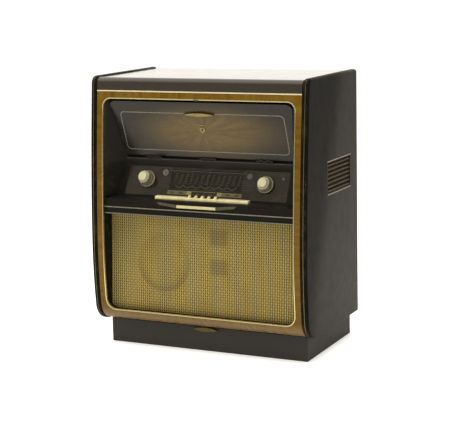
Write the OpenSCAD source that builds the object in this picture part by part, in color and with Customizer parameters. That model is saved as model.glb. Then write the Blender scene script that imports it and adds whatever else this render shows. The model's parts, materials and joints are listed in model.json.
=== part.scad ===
// Radio phonograph console: cabinet, radio, record changer, flap and keys.
// Origin: centre of the footprint on the floor. +Z up, front faces -Y, left is -X.

/* [Cabinet] */
// Overall width over the side panels
body_w = 768; // [748:4:800]
// Overall depth at the fullest point of the front
body_d = 450; // [444:1:456]
// Overall height
body_h = 896; // [892:1:900]
// Thickness of each side panel
side_t = 23; // [20:0.5:24]
// Height of the plinth
plinth_h = 81; // [60:1:84]
// Set-back of the plinth at each side
plinth_inset = 28; // [20:1:30]
// Thickness of the plinth boards
plinth_t = 18; // [12:1:22]
// Height at which the front is fullest
bulge_z = 316; // [300:1:330]
// How far the back cover sits inside the back edges
back_recess = 25; // [20:1:28]

/* [Front frame] */
// Half width of the rounded front opening
open_hw = 340; // [335:1:341]
// Bottom of the front opening
open_z0 = 125.5; // [122:0.5:130]
// Top of the front opening
open_z1 = 825.5; // [820:0.5:830]
// Corner radius at the top of the opening
open_rt = 28; // [20:1:32]
// Corner radius at the bottom of the opening
open_rb = 36; // [28:1:40]
// Height of the brass line above the frame
top_line_z = 848.7; // [846:0.1:850]

/* [Dial and keys] */
// Half width of the dial glass
glass_hw = 289.8; // [270:0.1:292]
// Distance of each knob pair from the centre
knob_x = 212; // [205:1:225]
// Knob centre, measured up the sloping dial
knob_v = 58; // [54:1:62]
// Radius of the outer knob flange
knob_r = 28; // [24:0.5:30]
// Pitch of the eight side keys
key_pitch = 27; // [25:0.5:27]
// Pitch of the five middle keys
mid_pitch = 23.2; // [21:0.1:23.2]

/* [Flap] */
// Length of the flap from hinge edge to top edge
flap_len = 196; // [190:0.5:196]
// Thickness of the flap board
flap_t = 16; // [12:0.5:16]

/* [Record changer] */
// Platter radius
platter_r = 125; // [110:1:126]
// Spindle radius
spindle_r = 3.55; // [3.4:0.05:3.6]
// Height of the stack of records the spindle holds
spindle_h = 62; // [40:1:75]

/* [Speakers] */
// Radius of the bass speaker
woofer_r = 105; // [95:1:108]
// Radius of each small speaker
small_r = 42; // [34:1:44]

/* [Hidden] */

$fn = 48;

// Colours shared by several nodes
side_brown = [0.16, 0.14, 0.12];
lining_black = [0.07, 0.07, 0.07];
hinge_metal = [0.26, 0.24, 0.20];
key_ivory = [0.93, 0.88, 0.72];
knob_cream = [0.86, 0.80, 0.60];
ring_gold = [0.72, 0.64, 0.42];
changer_cream = [0.90, 0.86, 0.74];
speaker_grey = [0.25, 0.25, 0.26];

half_w = body_w / 2;
inner_x = half_w - side_t;          // inner face of the side panels
back_y = body_d / 2;
cover_y = back_y - back_recess;     // back face of the back cover

/* ---------- helpers ---------- */
module yz(x0, x1) {
  translate([x0, 0, 0]) rotate([90, 0, 90]) linear_extrude(x1 - x0) children();
}
module xz(y0, y1) {
  translate([0, y1, 0]) rotate([90, 0, 0]) linear_extrude(y1 - y0) children();
}
module box(low, high) { translate(low) cube(high - low); }
module rod_x(x, y, z, radius, length) {
  translate([x, y, z]) rotate([0, 90, 0]) cylinder(r = radius, h = length);
}
// Children and their mirror image about the plane at the given x
module both_at(x) {
  children();
  translate([2 * x, 0, 0]) mirror([1, 0, 0]) children();
}
module both() { both_at(0) children(); }

function reversed(list) = [for (i = [len(list) - 1:-1:0]) list[i]];
function arc(x, y, radius, from, to, steps) = [for (i = [0:steps])
  let (a = from + (to - from) * i / steps) [x + radius * cos(a), y + radius * sin(a)]];
// Rounded rectangle, centred across, with its own radii at the high and low corners
function rounded(half, low, high, high_r, low_r, steps) = concat(
  arc(half - high_r, high - high_r, high_r, 0, 90, steps),
  arc(-half + high_r, high - high_r, high_r, 90, 180, steps),
  arc(-half + low_r, low + low_r, low_r, 180, 270, steps),
  arc(half - low_r, low + low_r, low_r, 270, 360, steps));

/* ---------- front profile ---------- */
// Seen from the side the front leans back above the bulge and below it, each by a power
// law, and ends in a round curl at the bottom and a small round corner at the top.
curl_top_z = 139;                   // where the bottom curl starts
lean_power = 1.506;
lean_k = 36 / pow(533, lean_power);          // 36 back at 533 above the bulge
tuck_power = 2.24;
tuck_k = 7.95 / pow(bulge_z - curl_top_z, tuck_power);   // 7.95 back at the curl
function front_y(z) = -body_d / 2 + (z >= bulge_z ? lean_k * pow(z - bulge_z, lean_power)
                                                  : tuck_k * pow(bulge_z - z, tuck_power));
function front_slope(z) = z >= bulge_z
  ? lean_k * lean_power * pow(z - bulge_z, lean_power - 1)
  : -tuck_k * tuck_power * pow(bulge_z - z, tuck_power - 1);

curl_a = atan(-front_slope(curl_top_z));
curl_r = (curl_top_z - plinth_h) / (1 - sin(curl_a));
curl_y = front_y(curl_top_z) + curl_r * cos(curl_a);
curl_z = plinth_h + curl_r;
corner_r = 25;
corner_z0 = body_h - corner_r * 0.897;       // 0.897 is 1 - sin of the lean angle there
corner_a = atan(front_slope(corner_z0));
corner_y = front_y(corner_z0) + corner_r * cos(corner_a);
run_z0 = curl_top_z + 4;            // first point of the run above the curl

// Bottom curl, a given depth below the surface
function curl(depth) = arc(curl_y, curl_z, curl_r - depth, 270, 180 + curl_a, 14);
// Run of the front between two heights, a given depth below the surface
function front_run(depth, z0, z1, steps) = [for (i = [0:steps])
  let (z = z0 + (z1 - z0) * i / steps, slope = front_slope(z), norm = sqrt(1 + slope * slope))
  [front_y(z) + depth / norm, z - depth * slope / norm]];
// Closed band that follows the front between two depths below the surface
function band(outer, inner, top) = concat(curl(outer), front_run(outer, run_z0, top, 60),
  reversed(front_run(inner, run_z0, top, 60)), reversed(curl(inner)));

// The front opening, grown on every side, as a block that reaches through the front
module opening_block(grow) {
  xz(-300, 0) polygon(rounded(open_hw + grow, open_z0 - grow, open_z1 + grow,
    open_rt + grow, open_rb + grow, 12));
}

/* ---------- shared frames ---------- */
lining_t = 2;                       // growth or shrinkage of the opening at bezel and lining
lining_x = open_hw - lining_t;      // inner face of the lining
recess_hw = lining_x - 0.4;         // half width of parts fitted between the linings

// Funnel between the cheeks: half width at depth y
funnel_k = 0.39;
funnel_y = -207;
function funnel(y) = lining_x - funnel_k * (y - funnel_y);
// Block that fills the funnel, less a gap at each side
module funnel_block(z0, height, gap, rear_y) {
  mouth_y = -215;
  mouth_x = funnel(mouth_y) - gap;
  rear_x = funnel(rear_y) - gap;
  translate([0, 0, z0]) linear_extrude(height) polygon([[mouth_x, mouth_y],
    [rear_x, rear_y], [-rear_x, rear_y], [-mouth_x, mouth_y]]);
}

// Dial slope frame: x across, y up the slope, z out of the dial
module on_dial() { translate([0, -157, 503]) rotate([65.77, 0, 0]) children(); }

// Flap frame: x across, y up the flap, z out of its front face; origin on the hinge edge
flap_tilt = 20.3;
flap_y = -112;
module on_flap() { translate([0, flap_y, 632]) rotate([90 + flap_tilt, 0, 0]) children(); }

// Grille frame: x across, y up the cloth, z out of the cloth
module on_cloth() { translate([0, -165, 431]) rotate([90 - 3.62, 0, 0]) children(); }

/* ---------- cabinet ---------- */
vent_y0 = -45;
vent_y1 = 162;
vent_z0 = 516;
vent_z1 = 625;
frame_depth = 3;                    // set-back of frame and top from the side panel edge
frame_hw = inner_x - 0.2;
top_z = body_h - 4.5;

module side_panel() {
  color(side_brown)
  difference() {
    yz(inner_x, half_w) polygon(concat(curl(0), front_run(0, run_z0, corner_z0 - 3, 64),
      arc(corner_y, body_h - corner_r, corner_r, 180 - corner_a, 90, 10),
      arc(back_y - 10, body_h - 10, 10, 90, 0, 6), [[back_y, plinth_h]]));
    box([inner_x - 1, vent_y0, vent_z0], [half_w + 1, vent_y1, vent_z1]);
  }
}
module side_panel_right() { side_panel(); }
module side_panel_left() { mirror([1, 0, 0]) side_panel(); }

// Top board with a deep rounded nose along the front
module top_panel() {
  nose_r = 21;
  nose_z = top_z - nose_r;
  board_z = top_z - 18;
  color([0.13, 0.12, 0.11])
  yz(-inner_x, inner_x) polygon(concat(
    [for (z = [851, 858, 865]) [front_y(z) + frame_depth, z]],
    arc(front_y(nose_z) + frame_depth + nose_r, nose_z, nose_r, 180, 90, 12),
    [[back_y - 3, top_z], [back_y - 3, board_z], [-130, board_z], [-130, 851]]));
}

module bottom_panel() {
  color([0.30, 0.22, 0.15])
  box([-inner_x, curl_y + 1, plinth_h], [inner_x, cover_y - 5, plinth_h + 18]);
}

plinth_y0 = -156;
plinth_y1 = 220;
module plinth() {
  outer_x = half_w - plinth_inset;
  hollow_x = outer_x - plinth_t;
  color([0.17, 0.17, 0.16])
  difference() {
    box([-outer_x, plinth_y0, 0], [outer_x, plinth_y1, plinth_h]);
    box([-hollow_x, plinth_y0 + plinth_t, -1], [hollow_x, plinth_y1 - plinth_t, plinth_h + 1]);
    // notch in the back board
    box([-60, plinth_y1 - plinth_t - 1, -1], [60, plinth_y1 + 1, 30]);
  }
}

cord_x = -256;
cord_z = plinth_h + 28;
// Rows of ten slots through the back cover
module cover_slots(rows, z0, pitch, height) {
  for (r = [0:rows - 1], c = [0:9])
    translate([-270 + c * 56, cover_y - 6, z0 + r * pitch]) cube([36, 8, height]);
}
module back_cover() {
  color([0.36, 0.25, 0.16])
  difference() {
    box([-inner_x + 1, cover_y - 4, plinth_h + 2], [inner_x - 1, cover_y, top_z - 20]);
    cover_slots(rows = 6, z0 = 480, pitch = 22, height = 7);
    cover_slots(rows = 4, z0 = 180, pitch = 40, height = 10);
    // cord hole
    box([cord_x - 6, cover_y - 6, cord_z - 6], [cord_x + 6, cover_y + 2, cord_z + 6]);
  }
}

module front_frame() {
  color([0.50, 0.36, 0.13])
  intersection() {
    difference() {
      yz(-frame_hw, frame_hw) polygon(band(frame_depth, 21, 860));
      opening_block(lining_t + 0.2);
    }
    box([-half_w, -300, 0], [half_w, 0, top_line_z - 1.8]);
  }
}

// Ring around the edge of the opening, between two depths below the front
module opening_ring(outer, inner) {
  difference() {
    intersection() {
      yz(-open_hw - 5, open_hw + 5) polygon(band(outer, inner, 850));
      opening_block(lining_t);
    }
    opening_block(-lining_t);
  }
}
module opening_bezel() { color([0.80, 0.68, 0.40]) opening_ring(1.5, 9); }

surround_y = -206;                  // front face of the dial surround
module brass_trims() {
  color([0.80, 0.70, 0.45]) {
    // line above the frame
    intersection() {
      yz(-frame_hw, frame_hw) polygon(concat(front_run(1.5, 840, 858, 6),
        reversed(front_run(12, 840, 858, 6))));
      box([-half_w, -300, top_line_z - 1.7], [half_w, 0, top_line_z + 2.2]);
    }
    // two lines across the dial surround
    box([-recess_hw, surround_y - 3, 469.4], [recess_hw, surround_y, 472.4]);
    box([-recess_hw, surround_y - 3, 448.6], [recess_hw, surround_y, 451.4]);
    // lens-shaped ornament on the plinth, bounded by two large arcs
    intersection() {
      box([-45, plinth_y0 - 9, 60], [45, plinth_y0, 80.6]);
      ornament_arc(-131.2);
      ornament_arc(131.2);
    }
  }
}
module ornament_arc(offset_z) {
  translate([0, 0, 73 + offset_z]) rotate([90, 0, 0])
    cylinder(r = 138.7, h = 600, center = true, $fn = 160);
}

// Slanted side wall of the funnel, right side
module cheek() {
  intersection() {
    translate([0, 0, 504]) linear_extrude(318.5) polygon([
      [funnel(funnel_y + 1.1), funnel_y + 1.1], [funnel(-113.6), -113.6],
      [funnel(-96), -96], [funnel(-96) + 9, -96],
      [recess_hw, funnel_y + 24], [recess_hw, -218]]);
    yz(0, 400) polygon(concat(front_run(9.3, 480, 840, 40), [[-60, 840], [-60, 480]]));
    opening_block(lining_t);
  }
}
// Side plate below the cheek: y, z
lower_plate = [[-199, 172], [-199, 500], [-163.2, 500], [-163.7, 446], [-181.3, 172]];
module recess_lining() {
  color(lining_black) {
    opening_ring(9.2, 24);
    both() cheek();
    both() yz(lining_x, open_hw + lining_t) polygon(lower_plate);
  }
}

// Section of the dial surround: y, z
surround_section = [
  [surround_y, 448], [surround_y, 494], [-205.2, 497], [-203, 499], [-157.6, 502.4],
  [-113, 602], [-112.6, 605], [-113, 622], [-111.5, 624], [-96, 624], [-96, 615],
  [-104, 615], [-104, 602], [-147.6, 503], [-147.6, 493], [-196, 489], [-196, 448]];
glass_v0 = 5.2;                     // dial glass, measured up the slope
glass_v1 = 102.8;
glass_gap = 0.2;
tone_bar_hw = 69.5;
tone_bar_z0 = 480;
tone_bar_z1 = 488.8;
tone_bar_gap = 0.7;
hinge_xs = [-200, 0, 200];
hinge_len = 60;
hinge_notch_z = 621.5;

module dial_surround() {
  notch_hw = hinge_len / 2 + 1;
  bar_slot_hw = tone_bar_hw + tone_bar_gap;
  color(lining_black)
  difference() {
    intersection() {
      yz(-recess_hw, recess_hw) polygon(surround_section);
      union() {
        box([-recess_hw, -230, 440], [recess_hw, -90, 503.6]);
        funnel_block(503.6, 130, 0.4, -95);
      }
    }
    // window for the dial glass
    on_dial() box([-glass_hw - glass_gap, glass_v0 - glass_gap, -40],
      [glass_hw + glass_gap, glass_v1 + glass_gap, 20]);
    // slot for the keys
    box([-168.5, -181, 484], [168.5, -140, 507]);
    // slot for the tone bar
    box([-bar_slot_hw, -210, tone_bar_z0 - tone_bar_gap],
      [bar_slot_hw, -201, tone_bar_z1 + tone_bar_gap]);
    for (x = hinge_xs) box([x - notch_hw, -120, hinge_notch_z], [x + notch_hw, -95, 630]);
  }
}

// Speaker places on the cloth: x, y
woofer_at = [-141, -142.3];
small_at = [[58, -49], [59, -145]];
baffle_z = -14.5;                   // back face of the baffle board
module baffle_board() {
  color([0.20, 0.15, 0.10])
  on_cloth() difference() {
    box([-355, -309, baffle_z], [355, 15, -2.5]);
    translate([woofer_at[0], woofer_at[1], -20]) cylinder(r = woofer_r - 9, h = 30, $fn = 96);
    for (at = small_at) box([at[0] - 33, at[1] - 27, -20], [at[0] + 33, at[1] + 27, 10]);
  }
}
module grille_cloth() {
  cloth_hw = lining_x - 0.6;
  color([0.66, 0.57, 0.33])
  on_cloth() box([-cloth_hw, -310.5, -2.3], [cloth_hw, 14.5, 0]);
}

// Louvred vent in the right side panel
module vent() {
  depth = 17;
  count = 7;
  pitch = (vent_z1 - vent_z0 - 12) / count;
  difference() {
    box([half_w - depth, vent_y0 + 0.3, vent_z0 + 0.3],
      [half_w + 0.5, vent_y1 - 0.3, vent_z1 - 0.3]);
    box([half_w - depth - 1, vent_y0 + 5, vent_z0 + 6], [half_w + 2, vent_y1 - 5, vent_z1 - 6]);
  }
  for (i = [0:count - 1])
    louvre(vent_z0 + 6 + pitch * (i + 0.5), pitch);
}
// Slat that rises inwards
module louvre(z, pitch) {
  outer_z = z - pitch * 0.38;
  inner_z = z + pitch * 0.30;
  xz(vent_y0 + 4.9, vent_y1 - 4.9) polygon([[half_w - 2, outer_z], [half_w - 2, outer_z + 4],
    [half_w - 15, inner_z + 4], [half_w - 15, inner_z]]);
}
module side_vents() { color([0.33, 0.23, 0.15]) both() vent(); }

/* ---------- flap ---------- */
// Half width of the flap, measured up from the hinge edge
function flap_hw(v) = funnel(flap_y) - 2.6 + funnel_k * sin(flap_tilt) * v;
module flap_door() {
  notch_hw = hinge_len / 2 + 1;
  top_r = 24;
  top_x = flap_hw(flap_len) - top_r;
  color([0.42, 0.35, 0.25])
  intersection() {
    on_flap() difference() {
      translate([0, 0, -flap_t]) linear_extrude(flap_t) polygon(concat(
        [[-flap_hw(0), 0.4], [flap_hw(0), 0.4]],
        arc(top_x, flap_len - top_r, top_r, 4, 90, 8),
        arc(-top_x, flap_len - top_r, top_r, 90, 176, 8)));
      // keyhole
      translate([0, 101, -flap_t - 1]) cylinder(r = 3.6, h = flap_t + 2);
      for (x = hinge_xs) box([x - notch_hw, -1, -flap_t - 1], [x + notch_hw, 2.4, 1]);
    }
    // sides bevelled to swing clear of the cheeks
    funnel_block(600, 260, 2.4, -85);
  }
}
// Lens-shaped pull with a rounded face
module flap_pull() {
  pull_v = 157;
  color([0.80, 0.66, 0.36])
  on_flap() intersection() {
    box([-60, pull_v - 7, 0], [60, pull_v + 7, 9]);
    translate([0, pull_v - 245, 0]) cylinder(r = 251, h = 20, $fn = 240);
    translate([0, pull_v + 245, 0]) cylinder(r = 251, h = 20, $fn = 240);
    translate([0, 168, 0]) rotate([0, 90, 0]) cylinder(r = 20, h = 200, center = true);
  }
}
module flap_escutcheon() {
  plate_t = 1.6;
  color([0.82, 0.70, 0.42])
  on_flap() {
    difference() {
      union() {
        translate([0, 100, 0]) cylinder(r = 9.5, h = plate_t);
        translate([-4.6, 87.5, 0]) cube([9.2, 6, plate_t]);
      }
      translate([0, 102, -1]) cylinder(r = 2.6, h = 4);
      translate([-1.1, 94, -1]) cube([2.2, 8, 4]);
    }
    // separate bar above the plate
    translate([-9, 115, 0]) cube([18, 3.2, plate_t]);
  }
}

// Hinge pin axis
pin_y = -113.5;
pin_z = 627.5;
knuckle_len = hinge_len / 5;
knuckle_gap = 0.4;
leaf_z = hinge_notch_z + 0.2;
function knuckle_x(x, k) = x - hinge_len / 2 + k * knuckle_len;
module knuckle(x) { rod_x(x, pin_y, pin_z, 3.2, knuckle_len - knuckle_gap); }
module pin_hole() { rod_x(-300, pin_y, pin_z, 1.55, 600); }

// Curved bar about the hinge pin; angles are measured from straight up, + to the front
module stay_arc(x0, x1, inner_r, outer_r, from, to) {
  translate([0, pin_y, pin_z]) yz(x0, x1) polygon(concat(
    arc(0, 0, outer_r, 90 + from, 90 + to, 24), arc(0, 0, inner_r, 90 + to, 90 + from, 24)));
}
stay_x0 = 285.5;
stay_x1 = 287.5;
stay_r0 = 88;
stay_r1 = 96;

module flap_hinge_fixed() {
  color(hinge_metal) {
    for (x = hinge_xs) {
      difference() {
        union() {
          for (k = [0, 2, 4]) {
            kx = knuckle_x(x, k);
            knuckle(kx);
            box([kx, pin_y, leaf_z],
              [kx + knuckle_len - knuckle_gap, pin_y + 8, leaf_z + 3.1]);
          }
          box([x - hinge_len / 2, pin_y + 5, leaf_z], [x + hinge_len / 2, -96.4, leaf_z + 1.5]);
        }
        pin_hole();
      }
      // pin
      rod_x(x - hinge_len / 2, pin_y, pin_z, 1.5, hinge_len - knuckle_gap);
    }
    // guide eyes of the quadrant stays
    both() difference() {
      box([281, -121, 706], [300.4, -111, 736]);
      stay_arc(stay_x0 - 2, stay_x1 + 3, stay_r0 - 6, stay_r1 + 6, -60, 30);
    }
  }
}
module flap_hinge_moving() {
  color(hinge_metal)
  for (x = hinge_xs) difference() {
    union() {
      for (k = [1, 3]) {
        kx = knuckle_x(x, k);
        knuckle(kx);
        box([kx, pin_y - 1.6, pin_z],
          [kx + knuckle_len - knuckle_gap, pin_y + 1.6, pin_z + 5.7]);
      }
      on_flap() box([x - hinge_len / 2, 0.6, -flap_t + 1],
        [x + hinge_len / 2 - knuckle_gap, 2.2, 0]);
    }
    pin_hole();
  }
}
module flap_stays() {
  color([0.74, 0.62, 0.36])
  both() {
    difference() {
      stay_arc(stay_x0, stay_x1, stay_r0, stay_r1, -76, 16);
      on_flap() box([0, 0, -flap_t], [400, 250, 10]);
    }
    // foot on the back of the flap
    on_flap() box([276, 78, -flap_t - 2], [stay_x1, 118, -flap_t]);
    // block at the rear end
    translate([0, pin_y, pin_z]) rotate([-74, 0, 0]) translate([282.4, -3, 84.2])
      cube([8, 6, 15.6]);
  }
}

/* ---------- radio ---------- */
module dial_glass() {
  color([0.10, 0.09, 0.08, 0.85])
  on_dial() difference() {
    box([-glass_hw, glass_v0, -5], [glass_hw, glass_v1, -1]);
    both() translate([knob_x, knob_v, -9]) cylinder(r = 6.5, h = 20);
  }
}
module dial_scale() {
  color([0.30, 0.26, 0.18])
  on_dial() box([-190, 8, -24], [190, 100, -22]);
}
module dial_pointer() {
  color([0.85, 0.30, 0.15])
  on_dial() {
    box([-1, 24, -15], [1, 106, -13.5]);
    box([-9, 101, -21], [9, 109, -13.5]);
  }
}

chassis_z = 483;                    // top of the chassis
// Upright arm that carries a knob plate: y, z
knob_arm = [[-58, chassis_z - 30], [-58, chassis_z + 60], [-70, chassis_z + 65], [-92, 536],
  [-96.5, 541], [-108, 520], [-62, chassis_z - 30]];
module radio_chassis() {
  plate_z = -37;                    // outer face of the knob plates, in the dial frame
  color([0.55, 0.56, 0.56]) {
    // tray, open below
    difference() {
      box([-250, -60, 430], [250, 170, chassis_z]);
      box([-248, -58, 420], [248, 168, chassis_z - 2]);
    }
    both() difference() {
      union() {
        on_dial() box([knob_x - 26, knob_v - 24, plate_z - 3], [knob_x + 26, knob_v + 26, plate_z]);
        yz(228, 234) polygon(knob_arm);
      }
      on_dial() translate([knob_x, knob_v, -60]) cylinder(r = 5.05, h = 40);
      // trims the arm flush with the plate
      on_dial() box([150, -100, plate_z], [300, 200, 60]);
    }
  }
}
module transformer() {
  color([0.35, 0.34, 0.33]) {
    box([150, 70, chassis_z], [230, 140, chassis_z + 78]);
    box([162, 54, chassis_z + 16], [218, 156, chassis_z + 62]);
  }
}
// Valve places on the chassis: x, y
valve_at = [[-215, 20], [-170, 60], [-120, 30], [-75, 90], [-20, 50], [40, 110]];
module valves() {
  color([0.70, 0.72, 0.72])
  for (at = valve_at) translate([at[0], at[1], chassis_z]) rotate_extrude()
    polygon(concat([[0, 0], [12, 0], [12, 14], [11, 14]],
      [for (i = [0:8]) let (a = i * 10) [3 + 8 * cos(a), 58 + 10 * sin(a)]], [[0, 68.5]]));
}

cap_x = 70;                         // left face of the tuning capacitor
cap_y = 20;                         // rotor axis
cap_z = chassis_z + 34;
cap_w = 62;
cap_hd = 26;                        // half depth
vane_pitch = 7;
module tuning_capacitor() {
  base_top = chassis_z + 6;
  color([0.72, 0.72, 0.70]) {
    // base, hollowed below
    difference() {
      box([cap_x, cap_y - cap_hd, chassis_z], [cap_x + cap_w, cap_y + cap_hd, base_top]);
      box([cap_x + 10, cap_y - 20, chassis_z - 1], [cap_x + 52, cap_y + 20, chassis_z + 1]);
    }
    // end plates
    difference() {
      for (x = [cap_x, cap_x + cap_w - 3])
        box([x, cap_y - cap_hd, base_top], [x + 3, cap_y + cap_hd, base_top + 60]);
      rod_x(cap_x - 5, cap_y, cap_z, 4.05, 80);
    }
    // fixed vanes and the bar that joins them
    for (i = [0:6])
      box([cap_x + 8 + i * vane_pitch, cap_y + 5.5, cap_z - 22],
        [cap_x + 9 + i * vane_pitch, cap_y + cap_hd, cap_z + 22]);
    box([cap_x + 3, cap_y + 24, cap_z - 4], [cap_x + cap_w - 3, cap_y + cap_hd, cap_z + 4]);
  }
}
module tuning_rotor() {
  color([0.80, 0.80, 0.78]) {
    rod_x(cap_x - 10, cap_y, cap_z, 4, 72);
    for (i = [0:5])
      translate([cap_x + 11 + i * vane_pitch, cap_y, cap_z]) rotate([0, 90, 0])
        intersection() {
          cylinder(r = 20, h = 1.2);
          translate([-30, -30, -1]) cube([60, 34, 4]);
        }
  }
}

// Knob pairs on the dial slope; side is -1 for left, 1 for right
module at_knob(side) { on_dial() translate([side * knob_x, knob_v, 0]) children(); }
// Turned part along +Z from a list of [radius, height]
module turned(profile) {
  rotate_extrude($fn = 72) polygon(concat([[0, profile[0][1]]], profile,
    [[0, profile[len(profile) - 1][1]]]));
}
module outer_knob() {
  difference() {
    turned([[5, -52], [5, 1.2], [8, 1.2], [8, 2], [knob_r - 2, 2], [knob_r - 0.4, 3.2],
      [knob_r, 5], [knob_r - 0.8, 7.4], [knob_r - 3.5, 8.6], [knob_r - 6, 9],
      [knob_r - 7, 12.5], [knob_r - 8, 13.4]]);
    translate([0, 0, -100]) cylinder(r = 3.05, h = 300);
  }
}
module inner_knob(height) {
  turned([[3, -60], [3, 14.2], [8, 14.2], [knob_r - 8.5, 14.2], [knob_r - 8.2, 15],
    [knob_r - 9, height - 10], [knob_r - 12.5, height - 8.6], [knob_r - 12.8, height - 3],
    [knob_r - 13.6, height - 1], [knob_r - 16, height]]);
}
module volume_knob() { color(knob_cream) at_knob(-1) inner_knob(42); }
module tone_ring() { color(ring_gold) at_knob(-1) outer_knob(); }
module tuning_knob() { color(knob_cream) at_knob(1) inner_knob(34); }
module antenna_ring() { color(ring_gold) at_knob(1) outer_knob(); }

/* ---------- keys ---------- */
rod_y = -100;
rod_z = 487.5;
rod_r = 2;
rod_hw = 178;
key_gap = 0.35;                     // clearance at each side of a key
module key_rod() {
  color([0.70, 0.70, 0.68]) {
    rod_x(-rod_hw, rod_y, rod_z, rod_r, 2 * rod_hw);
    // end brackets
    both() difference() {
      box([rod_hw - 4, -106, 470], [rod_hw, -60, 494]);
      rod_x(170, rod_y, rod_z, rod_r, 12);
    }
  }
}
module key_lever(x) {
  difference() {
    union() {
      box([x - 4, -166, 486], [x + 4, rod_y, 493.4]);
      rod_x(x - 4, rod_y, rod_z, 5, 8);
    }
    rod_x(x - 10, rod_y, rod_z, rod_r + 0.06, 20);
  }
}
// Cap and lever; all caps share the underside and front, rear lists the remaining [y, z]
module key(x, pitch, rear) {
  yz(x - pitch / 2 + key_gap, x + pitch / 2 - key_gap)
    polygon(concat([[-152, 491], [-172, 495.5], [-174.5, 498]],
      arc(-169.5, 503.5, 5, 180, 95, 6), rear));
  key_lever(x);
}
// Side keys count outwards from the middle group: -1 to -4 left, 1 to 4 right
module side_key(place) {
  x = sign(place) * (2.5 * mid_pitch + 0.5 + (abs(place) - 0.5) * key_pitch);
  color(key_ivory) key(x, key_pitch, [[-156.5, 508.8], [-156.5, 500], [-152, 500]]);
}
// Middle keys run from -2 to 2
module mid_key(place) {
  x = place * mid_pitch;
  color([0.95, 0.90, 0.75]) {
    key(x, mid_pitch, [[-167.5, 508], [-165.5, 503], [-152.5, 501]]);
    // raised rib down the middle
    yz(x - 4.2, x + 4.2) polygon([[-171, 503], [-171.5, 507.5], [-158.2, 514.2],
      [-156.4, 513.2], [-156.6, 507.2], [-156.6, 500], [-165, 500]]);
  }
}
module key_1() { side_key(-4); }
module key_2() { side_key(-3); }
module key_3() { side_key(-2); }
module key_4() { side_key(-1); }
module key_5() { mid_key(-2); }
module key_6() { mid_key(-1); }
module key_7() { mid_key(0); }
module key_8() { mid_key(1); }
module key_9() { mid_key(2); }
module key_10() { side_key(1); }
module key_11() { side_key(2); }
module key_12() { side_key(3); }
module key_13() { side_key(4); }

module tone_bar_wings() {
  color([0.62, 0.54, 0.32])
  both() xz(surround_y - 2.5, surround_y) polygon([[72, 479.4], [72, 489.8], [138, 496.2],
    [142, 495], [132, 486.6]]);
}
module tone_bar() {
  color(key_ivory)
  box([-tone_bar_hw, surround_y - 5, tone_bar_z0], [tone_bar_hw, surround_y + 1, tone_bar_z1]);
}

/* ---------- record changer ---------- */
deck_z = 646;                       // top of the deck board
plate_top = deck_z + 5;             // top of the deck plate
platter_x = -40;
platter_y = 42;
platter_z = deck_z + 9;             // underside of the platter
mat_z = platter_z + 13;
motor_x = -95;
motor_y = 120;
arm_x = 135;                        // tonearm pivot
arm_y = 135;
arm_z = deck_z + 38;

module deck_board() {
  color([0.45, 0.33, 0.20])
  difference() {
    union() {
      box([-inner_x + 1, -90, deck_z - 12], [inner_x - 1, cover_y - 6, deck_z]);
      // apron behind the hinge gap
      box([-inner_x + 1, -90, 608], [inner_x - 1, -82, 634.5]);
    }
    translate([platter_x, platter_y, 600]) cylinder(r = 6, h = 80);
    box([motor_x - 35, motor_y - 30, 600], [motor_x + 35, motor_y + 30, 700]);
  }
}
module deck_plate() {
  color([0.80, 0.78, 0.70]) {
    difference() {
      union() {
        translate([0, 0, deck_z]) linear_extrude(plate_top - deck_z)
          polygon(rounded(170, -86, 186, 14, 14, 8));
        translate([platter_x, platter_y, plate_top]) cylinder(r = 22, h = 3);
        translate([arm_x, arm_y, plate_top]) cylinder(r = 20, h = 16);
      }
      translate([platter_x, platter_y, deck_z - 1]) cylinder(r = spindle_r, h = 20);
      translate([arm_x, arm_y, deck_z + 8]) cylinder(r = 6.05, h = 30);
      // pocket over the motor
      box([motor_x - 30, motor_y - 25, deck_z - 1], [motor_x + 30, motor_y + 25, deck_z + 2]);
    }
    // arm rest
    difference() {
      box([arm_x - 7, -10, plate_top], [arm_x + 7, -2, deck_z + 33.2]);
      translate([arm_x, 0, deck_z + 36.5]) rotate([90, 0, 0]) cylinder(r = 5.4, h = 20);
    }
  }
}
module changer_motor() {
  color([0.40, 0.40, 0.42]) {
    translate([motor_x, motor_y, deck_z - 52]) cylinder(r = 24, h = 46);
    translate([motor_x, motor_y, deck_z - 6]) cylinder(r = 3, h = 6.5);
    // post at the left
    box([motor_x - 27, motor_y - 3, deck_z - 16], [motor_x - 22, motor_y + 3, deck_z + 1]);
  }
}
// Turned disc on the platter axis with a spindle hole; profile is a list of [radius, height]
module disc(z, bore, profile) {
  translate([platter_x, platter_y, z]) difference() {
    rotate_extrude($fn = 120) polygon(profile);
    translate([0, 0, -5]) cylinder(r = bore, h = 30);
  }
}
module platter() {
  color([0.62, 0.62, 0.60])
  disc(platter_z, spindle_r + 0.05, [[0, 0], [20, 0], [20, 8], [platter_r - 8, 8],
    [platter_r - 8, 1], [platter_r - 4, 1], [platter_r, 4], [platter_r, 11],
    [platter_r - 2, 13], [0, 13]]);
}
module platter_mat() {
  color([0.30, 0.24, 0.18])
  disc(mat_z, spindle_r + 0.4, [[0, 0], [platter_r - 5, 0], [platter_r - 5, 3.4],
    [platter_r - 9, 4], [60, 4], [58, 3], [24, 3], [22, 4], [0, 4]]);
}
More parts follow.
